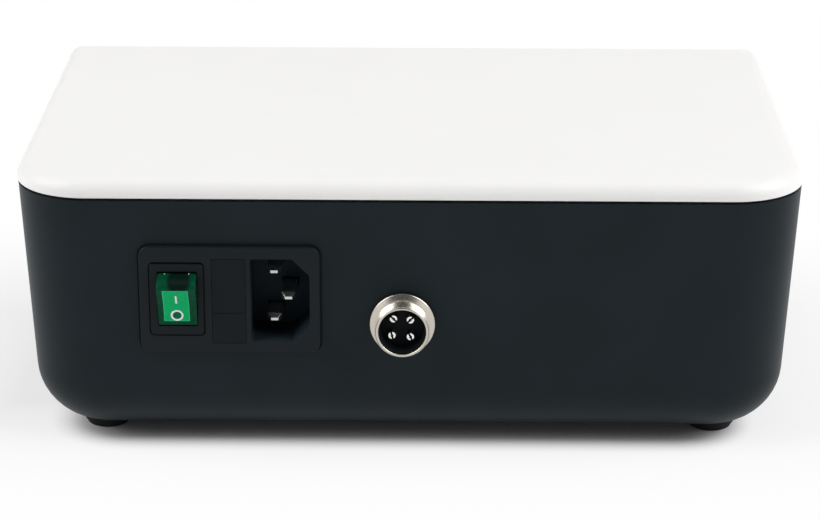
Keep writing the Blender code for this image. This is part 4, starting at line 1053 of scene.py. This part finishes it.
def clear(name, colour, scale, low, high, clearness=1.0):
    """Glass or clear plastic, with a gloss that wanders from low to high."""
    material, shader = new_finish(name)
    shader.inputs["Base Color"].default_value = (*colour, 1)
    shader.inputs["Transmission Weight"].default_value = clearness
    gloss = between(material, object_noise(material, scale), low, high)
    join(material, gloss, shader.inputs["Roughness"])
    return material


def upright(shape, depth):
    """Stand a spun shape up in the drawer."""
    rotated(shape, math.radians(-90), "X")
    at(shape, drawer_right + fuse_right, drawer_up, -depth)
    return in_module(shape)


fuse_glass = clear("fuse_glass", (0.92, 0.95, 0.94), 800.0, 0.02, 0.08)
half_fuse = fuse_length / 2
tube_end = half_fuse - 0.0004
cap_profile = [(0, half_fuse), (fuse_radius - 0.0003, half_fuse), (fuse_radius, half_fuse - 0.0003),
               (fuse_radius, half_fuse - cap_length), (fuse_radius - 0.00015, half_fuse - cap_length),
               (fuse_radius - 0.00015, tube_end), (0, tube_end)]
glass_profile = [(0.0021, -tube_end), (0.0024, -tube_end), (0.0024, tube_end), (0.0021, tube_end)]
for name, depth in fuse_depths.items():
    piece(name + "_tube", upright(turned(glass_profile, 40), depth), fuse_glass,
          body="fuse_drawer", replaces=[name])
    flipped = [(radius, -height) for radius, height in cap_profile]
    for end, profile in (("top", cap_profile), ("bottom", flipped)):
        piece(name + "_cap_" + end, upright(turned(profile, 40, closed=False), depth), nickel,
              body="fuse_drawer")
    wire = peg(0.00012, -tube_end, tube_end, 8)
    piece(name + "_wire", upright(wire, depth), nickel, body="fuse_drawer")

# %% [markdown]
# ## The pedal socket
# A round metal socket with four split pins takes the foot pedal's plug. A spun profile gives the
# flange, the relief behind the barrel and its chamfered rim. Each pin's end is dished and slotted,
# and each slot points its own way, as it does on the real socket.

# %% Pedal socket
pedal_stem = -0.0120
pedal_rim = 0.0075
pedal_bore = 0.0065
thread_pitch = 0.00091
thread_depth = 0.00040
thread_crest = 0.00008


def at_pedal(shape):
    """Stand a shape in the pedal socket."""
    return on_rear(shape, pedal_x, case_rear, pedal_z)


def thread(radius, start, turns):
    """The outline of a thread's ridges along a barrel."""
    outline = []
    for index in range(turns):
        root = start + index * thread_pitch
        outline += [(radius - thread_depth, root),
                    (radius, root + thread_pitch / 2 - thread_crest),
                    (radius, root + thread_pitch / 2 + thread_crest)]
    return outline + [(radius - thread_depth, start + turns * thread_pitch)]


shell_profile = [(pedal_bore, pedal_stem), (barrel_radius, pedal_stem), (barrel_radius, 0),
                 (0.0082, 0), (0.0082, 0.0005), (0.0089, 0.0009), (0.0090, 0.0011), (0.0090, 0.0015),
                 (0.00893, 0.00163), (0.0088, 0.00172), (0.0080, 0.00218), (0.0074, 0.00252),
                 (0.0070, 0.00262), (0.0070, 0.0032)]
shell_profile += thread(barrel_radius, 0.0033, 4)
shell_profile += [(0.00736, 0.00700), (0.00730, 0.00718), (0.00716, 0.00734), (0.00696, 0.00744),
                  (0.00674, 0.0075), (0.00662, 0.0075), (0.00655, 0.00744), (pedal_bore, 0.0073)]
piece("pedal_shell", at_pedal(turned(shell_profile, 96)), nickel,
      replaces=["pedal_socket_shell"])

pedal_pin_radius = 0.00115
pin_tip = pedal_rim - 0.0032
pin_tail = pedal_stem - 0.0035
slot_width = 0.00055
slot_depth = 0.0022
pedal_pins = {"pedal_pin_1": (-0.00241, 0.00274, -45), "pedal_pin_2": (0.00222, 0.00245, 45),
              "pedal_pin_3": (-0.00282, -0.00212, -76), "pedal_pin_4": (0.00224, -0.00248, -66)}
cup_radius = pedal_bore - 0.00005
cup_floor = 0.0020
cup_profile = [(0, pedal_stem), (cup_radius, pedal_stem), (cup_radius, pedal_rim - 0.0011),
               (cup_radius - 0.0002, pedal_rim - 0.0013), (cup_radius - 0.0004, pedal_rim - 0.0020),
               (cup_radius - 0.0005, cup_floor), (0, cup_floor)]
cup_holes = [at(peg(pedal_pin_radius + clearance, pedal_stem - over, over, 32), right, up)
             for right, up, _ in pedal_pins.values()]
cup = cut(turned(cup_profile, 96, closed=False), *cup_holes)
piece("pedal_insert", at_pedal(cup), insert_black_and_slot_shade, replaces=["pedal_socket_insert"])
pin_profile = [(0, pin_tail), (pedal_pin_radius, pin_tail), (pedal_pin_radius, pin_tip - 0.00035),
               (0.00110, pin_tip - 0.00012), (0.00098, pin_tip), (0.00046, pin_tip),
               (0.00034, pin_tip - 0.00045), (0, pin_tip - 0.0005)]
for name, (right, up, degrees) in pedal_pins.items():
    slot = slab((4 * pedal_pin_radius, slot_width), pin_tip - slot_depth, pin_tip + over)
    rotated(slot, math.radians(degrees))
    pin = cut(turned(pin_profile, 40, closed=False), slot)
    # The faces inside each slot take the insert's black as their second finish: painted shade in the
    # slot.
    straight = Matrix.Rotation(-math.radians(degrees), 3, "Z")
    for face in pin.faces:
        middle = face.calc_center_median()
        inside = abs((straight @ middle).y) < slot_width / 2 + merge_distance
        face.material_index = int(inside and pin_tail < middle.z < pin_tip)
    contact = piece(name.replace("_pin_", "_contact_"), at_pedal(at(pin, right, up)), tin,
                    replaces=[name])
    contact.data.materials.append(insert_black_and_slot_shade)

# %% [markdown]
# ## The front panel
# The photograph doesn't show the front, so it follows what such units have: a smoked window over
# a digital display, four press buttons under it, a speed knob with a printed scale, and a round
# socket for the motor's cord. The fascia is one rounded plate in a shallow rebate. Its openings are
# cut through it, and its posts carry the control board.

# %% Fascia and window
panel_face = case_front - 0.0012
panel_thickness = 0.0018
board_front = 0.0105
window_x, window_z = -0.00725, 0.0540
lens_size = (0.0600, 0.0240)
lens_corner = 0.0020
lens_ledge = 0.0020
lens_thickness = 0.0007
knob_x, socket_x = 0.0657, -0.0732
button_xs = {"run": -0.0320, "direction": -0.0155, "pedal": 0.0010, "memory": 0.0175}
button_z = 0.0330
button_size = (0.0110, 0.0070)
button_corner = 0.0032


def panel_hole(shape, x, z):
    """Put a cutter's middle at a place on the panel."""
    return at(shape, x, z - panel_z)


fascia = slab(panel_size, -panel_thickness, 0, panel_corner, 12, edge=0.0004)
panel_posts = [panel_hole(peg(0.0020, -board_front + clearance, -panel_thickness / 2, 24), x, z)
               for x in (-0.0592, 0.0777) for z in (0.0300, 0.0640)]
panel_cuts = [panel_hole(slab(grown(lens_size, -lens_ledge), -panel_thickness - over, over,
                              lens_corner), window_x, window_z),
              panel_hole(slab(grown(lens_size, clearance), -lens_thickness - clearance, over,
                              lens_corner + clearance), window_x, window_z)]
for x in button_xs.values():
    opening = rounded_face(*grown(button_size, clearance), button_corner + clearance)
    panel_cuts.append(panel_hole(push(opening, -panel_thickness - over, over), x, button_z))
for x, radius in ((knob_x, 0.0048), (socket_x, 0.0098)):
    panel_cuts.append(panel_hole(peg(radius, -panel_thickness - over, over, 64), x, panel_z))
fascia = cut(joined(fascia, *panel_posts), *panel_cuts)
piece("fascia", on_front(fascia, 0, panel_face, panel_z), panel_black,
      replaces=["front_panel"], soften=0.00012)

smoked_lens = clear("smoked_lens", (0.30, 0.31, 0.33), 700.0, 0.02, 0.07)
smoked_lens.node_tree.nodes["Principled BSDF"].inputs["IOR"].default_value = 1.49
window_lens = slab(lens_size, -lens_thickness, 0, lens_corner, edge=0.0002)
piece("window_lens", on_front(window_lens, window_x, panel_face, window_z), smoked_lens,
      replaces=["display_window"])

# %% [markdown]
# The display is a grey block with five seven-segment digits. The switch is off, so the segments
# are unlit and only just show through the smoked window. A segment is a bar with pointed ends:
# a flat face whose corners are cut at 45 degrees.

# %% Display and its digits
display_size = (0.0580, 0.0260)
display_front = -panel_thickness - clearance
digit_pitch = 0.0102
digit_width = 0.0062
digit_height = 0.0118
segment_width = 0.0011
segment_gap = 0.00018
digit_slant = math.tan(math.radians(8))


def digit():
    """Seven segments and a point, slanted."""
    half_w = (digit_width - segment_width) / 2
    half_h = (digit_height - segment_width) / 2
    point = segment_width / 2 * 0.98
    bars = []
    for up in (-1, 0, 1):
        bar = rounded_face(2 * half_w - 2 * segment_gap + segment_width * 0.3, segment_width, point, 1)
        bars.append(at(bar, 0, up * half_h))
    for right in (-1, 1):
        for up in (-1, 1):
            bar = rounded_face(segment_width, half_h - 2 * segment_gap + segment_width * 0.3, point, 1)
            bars.append(at(bar, right * half_w, up * half_h / 2))
    bars.append(at(round_face(segment_width * 0.55, 20), half_w + segment_width * 1.5, -half_h))
    shape = gathered([push(bar, 0, mark_height) for bar in bars])
    for vert in shape.verts:
        vert.co.x += digit_slant * vert.co.y
    return shape


display_grey = surface("display_grey", (0.030, 0.032, 0.034), 0.55, tone=0.05, specular=0.3)
segment_grey = surface("segment_grey", (0.20, 0.17, 0.155), 0.5, tone=0.05, specular=0.3)
block = slab(display_size, -board_front + clearance, display_front, 0.0006, 3, edge=0.0002)
piece("display_block", on_front(block, window_x, panel_face, window_z), display_grey,
      replaces=["display_module"])
digits = gathered([at(digit(), step * digit_pitch, 0, display_front) for step in range(-2, 3)])
piece("display_digits", on_front(digits, window_x, panel_face, window_z), segment_grey)

# %% [markdown]
# ## The speed knob and its scale
# The knob is a spun cap with a skirt, scalloped for grip. A white line is set in its face. It turns
# 300 degrees clockwise and rests at its lowest speed, at the lower left. The scale is printed on
# the fascia as thin plates: ticks, and plain numbers made from text.

# %% Knob
knob_back = -0.0005 + panel_face
knob_radius = 0.0180
knob_depth = 0.0140
flute_count = 18
lowest_speed = math.radians(150)
knob_profile = [(0.0095, 0), (0.0188, 0), (0.0190, 0.0002), (0.0190, 0.0018), (0.0188, 0.0020),
                (0.0180, 0.0032), (knob_radius, 0.0128), (0.0179, 0.0131), (0.0172, 0.0138),
                (0.0168, knob_depth), (0.0150, knob_depth), (0.0147, 0.01385), (0.0147, 0.0137),
                (0.0144, 0.0136), (0, 0.0136), (0, 0.0110), (0.0033, 0.0110), (0.0033, 0.0050),
                (0.0095, 0.0050)]
flutes = []
for index in range(flute_count):
    angle = math.tau * (index + 0.5) / flute_count
    flute = peg(0.0011, 0.0044, knob_depth + over, 20)
    flutes.append(at(flute, knob_radius * math.cos(angle), knob_radius * math.sin(angle)))
pointer_up = 0.0123
groove = at(slab((0.0014, 0.0090), 0.0131, knob_depth + over, 0.0003, 3), 0, pointer_up)
rotated(groove, lowest_speed)
knob = cut(turned(knob_profile, 144), groove, *flutes)
piece("knob_cap", on_front(knob, knob_x, knob_back, panel_z), knob_grey, body="knob",
      replaces=["speed_knob"], soften=0.00015)
line = at(slab((0.0013, 0.0088), 0.0131, 0.0135, 0.0003, 3, edge=0.0001), 0, pointer_up)
piece("knob_pointer", on_front(line, knob_x, knob_back, panel_z, turn=lowest_speed), print_white,
      body="knob")

# %% Printed scale
scale_numbers = 5
ticks_between = 10
scale_inner = 0.0198
tick_sizes = {True: (0.00035, 0.0014), False: (0.0002, 0.0008)}
number_radius = 0.0232
number_height = 0.0021
print_rise = 0.00003


def lettering(words, height):
    """Words as a flat mesh, centred on zero."""
    text = bpy.data.curves.new("draft", "FONT")
    text.body = words
    text.size = height / 0.7
    text.align_x = "CENTER"
    text.align_y = "CENTER"
    text.extrude = print_rise
    return settled(new_object("draft", text))


marks = []
steps = (scale_numbers - 1) * ticks_between
for step in range(steps + 1):
    angle = lowest_speed - 2 * lowest_speed * step / steps
    major = step % ticks_between == 0
    width, length = tick_sizes[major]
    tick = at(slab((width, length), -print_rise, print_rise), 0, scale_inner + length / 2)
    rotated(tick, angle)
    marks.append(tick)
    if major:
        number = lettering(str(step), number_height)
        marks.append(at(number, -number_radius * math.sin(angle), number_radius * math.cos(angle)))
piece("speed_scale", on_front(gathered(marks), knob_x, panel_face, panel_z), print_white)

# %% [markdown]
# ## The buttons
# Four caps stand a little proud of the fascia. A flange behind keeps each one in, and a stem
# presses its switch. A plain mark is printed over each: a triangle to run, two arrows for the
# direction, a wedge for the pedal and a ring for the memory.

# %% Buttons
flange_front = -panel_thickness - clearance
flange_back = flange_front - 0.0010
cap_proud = 0.0012
mark_up = 0.0055


def arrow(size, heading):
    """A flat triangle that points along a heading."""
    shape = round_face(size, 3)
    rotated(shape, heading - math.pi / 2)
    return push(shape, -print_rise, print_rise)


def shaft(length, right=0.0, up=0.0):
    """A thin flat bar."""
    return at(slab((length, 0.0003), -print_rise, print_rise), right, up)


button_marks = {
    "run": [arrow(0.0009, 0)],
    "direction": [at(arrow(0.0006, 0), 0.0014, 0.0005), shaft(0.0022, -0.0001, 0.0005),
                  at(arrow(0.0006, math.pi), -0.0014, -0.0005), shaft(0.0022, 0.0001, -0.0005)],
    "pedal": [shaft(0.0030, 0, -0.0007), at(arrow(0.0007, math.radians(-90)), 0, 0.0003)],
    "memory": [turned([(0.0006, -print_rise), (0.0009, -print_rise), (0.0009, print_rise),
                       (0.0006, print_rise)], 32)]}
for name, x in button_xs.items():
    cap = slab(button_size, flange_front - 0.0002, cap_proud, button_corner, edge=0.0005)
    flange = slab(grown(button_size, 0.0008), flange_back, flange_front, 0.0035)
    stem = peg(0.0018, flange_back - 0.0050, flange_back + 0.0002, 24)
    button = on_front(joined(cap, flange, stem), x, panel_face, button_z)
    piece("cap_" + name, button, button_white, body=name + "_button",
          replaces=[name + "_button"], soften=0.0001)
    piece("mark_" + name, on_front(gathered(button_marks[name]), x, panel_face, button_z + mark_up),
          print_white)

# %% [markdown]
# ## The motor socket
# The handpiece's motor plugs in at the front. This socket is a larger brother of the pedal's, with
# five sunk sleeves in a black insert.

# %% Motor socket
socket_face = panel_face - clearance
socket_bore = 0.0080
socket_radius = 0.0095
socket_stem = -0.0131
socket_profile = [(socket_bore, socket_stem), (socket_radius, socket_stem), (socket_radius, 0),
                  (0.0119, 0), (0.0120, 0.0001), (0.0120, 0.0016), (0.01185, 0.0019),
                  (0.0115, 0.0020), (0.0097, 0.0020), (0.0097, 0.0026), (socket_radius, 0.0028),
                  *thread(socket_radius, 0.0031, 5), (0.00935, 0.0080), (0.00935, 0.0086),
                  (0.0092, 0.0088), (0.0089, 0.0090), (0.0083, 0.0090), (socket_bore, 0.0088)]
piece("motor_shell", on_front(turned(socket_profile, 96), socket_x, socket_face, panel_z), nickel,
      replaces=["motor_socket_shell"])

insert_face = 0.0075
sleeve_radius = 0.0009
sleeve_circle = 0.0044
sleeve_depth = 0.0060
sleeve_spots = [(sleeve_circle * math.cos(math.radians(90 + 72 * index)),
                 sleeve_circle * math.sin(math.radians(90 + 72 * index))) for index in range(5)]
insert_profile = [(0, socket_stem), (0.0077, socket_stem), (0.0077, insert_face - 0.0002),
                  (0.0075, insert_face), (0.0066, insert_face), (0.0065, insert_face - 0.0003),
                  (0, insert_face - 0.0003)]
wells = [at(peg(sleeve_radius, insert_face - sleeve_depth, insert_face + over, 28), *spot)
         for spot in sleeve_spots]
insert = cut(turned(insert_profile, 96, closed=False), *wells)
piece("motor_insert", on_front(insert, socket_x, socket_face, panel_z), insert_black_and_slot_shade,
      replaces=["motor_socket_insert"])
sleeve_foot = insert_face - sleeve_depth + 0.0002
sleeve_profile = [(0.00062, sleeve_foot), (0.00086, sleeve_foot), (0.00086, insert_face - 0.0008),
                  (0.00080, insert_face - 0.0007), (0.00062, insert_face - 0.0009)]
sleeves = gathered([at(turned(sleeve_profile, 32), *spot) for spot in sleeve_spots])
piece("motor_sleeves", on_front(sleeves, socket_x, socket_face, panel_z), nickel)

# %% [markdown]
# ## What is inside
# The boards, their parts, the screws, nuts and looms keep the CAD's own solids, and each gets a
# finish of its own. Where one solid is really two materials, such as a transformer's core and its
# tape, a mask in the piece's own space lays the second over the first.

# %% Masks
inside_finishes = {}


def place_on(material):
    """The X, Y and Z of a point on the piece."""
    split = add_node(material, "ShaderNodeSeparateXYZ")
    join(material, on_piece(material), split.inputs[0])
    return split.outputs


def both(material, first, second):
    """1 where two masks are 1."""
    return work_out(material, "MULTIPLY", first, second)


def above(material, source, level):
    """1 where a socket is above a level."""
    return work_out(material, "GREATER_THAN", source, level)


def within(material, source, middle, reach):
    """1 where a socket is nearer to a middle than a reach."""
    return work_out(material, "COMPARE", source, middle, reach)


def overlay(material, mask, colour, metal=False):
    """Lay another colour over a finish where the mask is 1, as metal if it is metal."""
    shader = material.node_tree.nodes["Principled BSDF"]
    below = shader.inputs["Base Color"].links[0].from_socket
    join(material, tint_between(material, mask, below, colour), shader.inputs["Base Color"])
    if metal:
        join(material, mask, shader.inputs["Metallic"])


def cells(material, scale, feature, scatter=1.0):
    """The distance of a cell pattern."""
    pattern = add_node(material, "ShaderNodeTexVoronoi", feature=feature, Scale=scale,
                       Randomness=scatter)
    join(material, on_piece(material), pattern.inputs["Vector"])
    return pattern.outputs["Distance"]


print("masks ready")

# %% Circuit boards
pad_pitch = 0.00254
board_green = surface("board_green", (0.010, 0.085, 0.038), 0.36, tone=0.12, specular=0.4)
tracks = work_out(board_green, "LESS_THAN", cells(board_green, 230.0, "DISTANCE_TO_EDGE", 0.9), 0.05)
overlay(board_green, tracks, (0.020, 0.150, 0.070))
pads = work_out(board_green, "LESS_THAN", cells(board_green, 1 / pad_pitch, "F1", 0.0), 0.26)
busy = above(board_green, object_noise(board_green, 70.0, 1.0), 0.54)
overlay(board_green, both(board_green, pads, busy), (0.62, 0.60, 0.52), metal=True)
for name in ("control_board", "power_board", "drive_board"):
    inside_finishes[name] = board_green
print("tracks and pads on", len(inside_finishes), "boards")

# %% Transformer, capacitor and choke
yoke = 0.0055
stripe_width = 0.0050
wire_turns = 44.0


def middle_of(node):
    """The middle and the size of a CAD node's box."""
    low, high = (Vector(corner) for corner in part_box(node))
    return (low + high) / 2, high - low


middle, size = middle_of("transformer")
taped_core = surface("taped_core", (0.060, 0.060, 0.063), 0.55, tone=0.15, specular=0.3)
x, _, z = place_on(taped_core)
coil = both(taped_core, within(taped_core, x, middle.x, size.x / 2 - yoke),
            within(taped_core, z, middle.z, size.z / 2 - yoke))
overlay(taped_core, coil, (0.72, 0.50, 0.05))
inside_finishes["transformer"] = taped_core

middle, size = middle_of("bulk_capacitor")
sleeve_blue = surface("sleeve_blue", (0.014, 0.030, 0.110), 0.28, tone=0.05, specular=0.4)
x, y, z = place_on(sleeve_blue)
stripe = both(sleeve_blue, within(sleeve_blue, y, middle.y, stripe_width / 2),
              above(sleeve_blue, x, middle.x))
overlay(sleeve_blue, stripe, (0.55, 0.57, 0.60))
top = above(sleeve_blue, z, middle.z + size.z / 2 - 0.0002)
overlay(sleeve_blue, top, (0.70, 0.71, 0.72), metal=True)
inside_finishes["bulk_capacitor"] = sleeve_blue

middle, size = middle_of("line_choke")
wound_ring = surface("wound_ring", (0.050, 0.085, 0.050), 0.6, tone=0.12)
x, y, z = place_on(wound_ring)
angle = work_out(wound_ring, "ARCTAN2", work_out(wound_ring, "SUBTRACT", y, middle.y),
                 work_out(wound_ring, "SUBTRACT", x, middle.x))
wires = work_out(wound_ring, "SINE", work_out(wound_ring, "MULTIPLY", angle, wire_turns))
sides = work_out(wound_ring, "ABSOLUTE", work_out(wound_ring, "SINE", angle))
wound = both(wound_ring, above(wound_ring, wires, -0.6), above(wound_ring, sides, 0.35))
overlay(wound_ring, wound, (0.62, 0.27, 0.12), metal=True)
inside_finishes["line_choke"] = wound_ring
print("wound parts", len(inside_finishes))

# %% Looms, small parts and the lamp
braid = surface("braid", (0.10, 0.10, 0.105), 0.55, tone=0.15, grain=1300.0, depth=0.0002, strength=0.6)
pot_can = surface("pot_can", (0.52, 0.51, 0.48), 0.30, metallic=1.0, tone=0.05)
low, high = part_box("speed_pot")
wafer = above(pot_can, place_on(pot_can)[1], high[1] - 0.0022)
overlay(pot_can, wafer, (0.16, 0.055, 0.018))
knurled = surface("knurled", (0.60, 0.60, 0.58), 0.34, metallic=1.0, tone=0.04, grain=2600.0,
                  depth=0.0001, strength=0.5)
neon_glass = clear("neon_glass", (0.55, 0.85, 0.62), 900.0, 0.03, 0.10, 0.9)

for loom in ("mains", "dc", "motor", "pedal", "panel"):
    inside_finishes[loom + "_loom"] = braid
for corner in corners:
    inside_finishes["case_screw_" + corner] = steel
for button in button_xs:
    inside_finishes[button + "_switch"] = part_black
inside_finishes |= {"pot_nut": nickel, "motor_socket_nut": nickel, "pedal_socket_nut": nickel,
                    "speed_pot": pot_can, "pot_shaft": knurled, "motor_driver": part_black,
                    "power_heatsink": aluminium, "drive_heatsink": aluminium,
                    "switch_lamp": neon_glass}
for name, finish in inside_finishes.items():
    slots = nodes[name].data.materials
    for index in range(len(slots)):
        slots[index] = finish
print("CAD nodes with a finish", len(inside_finishes))
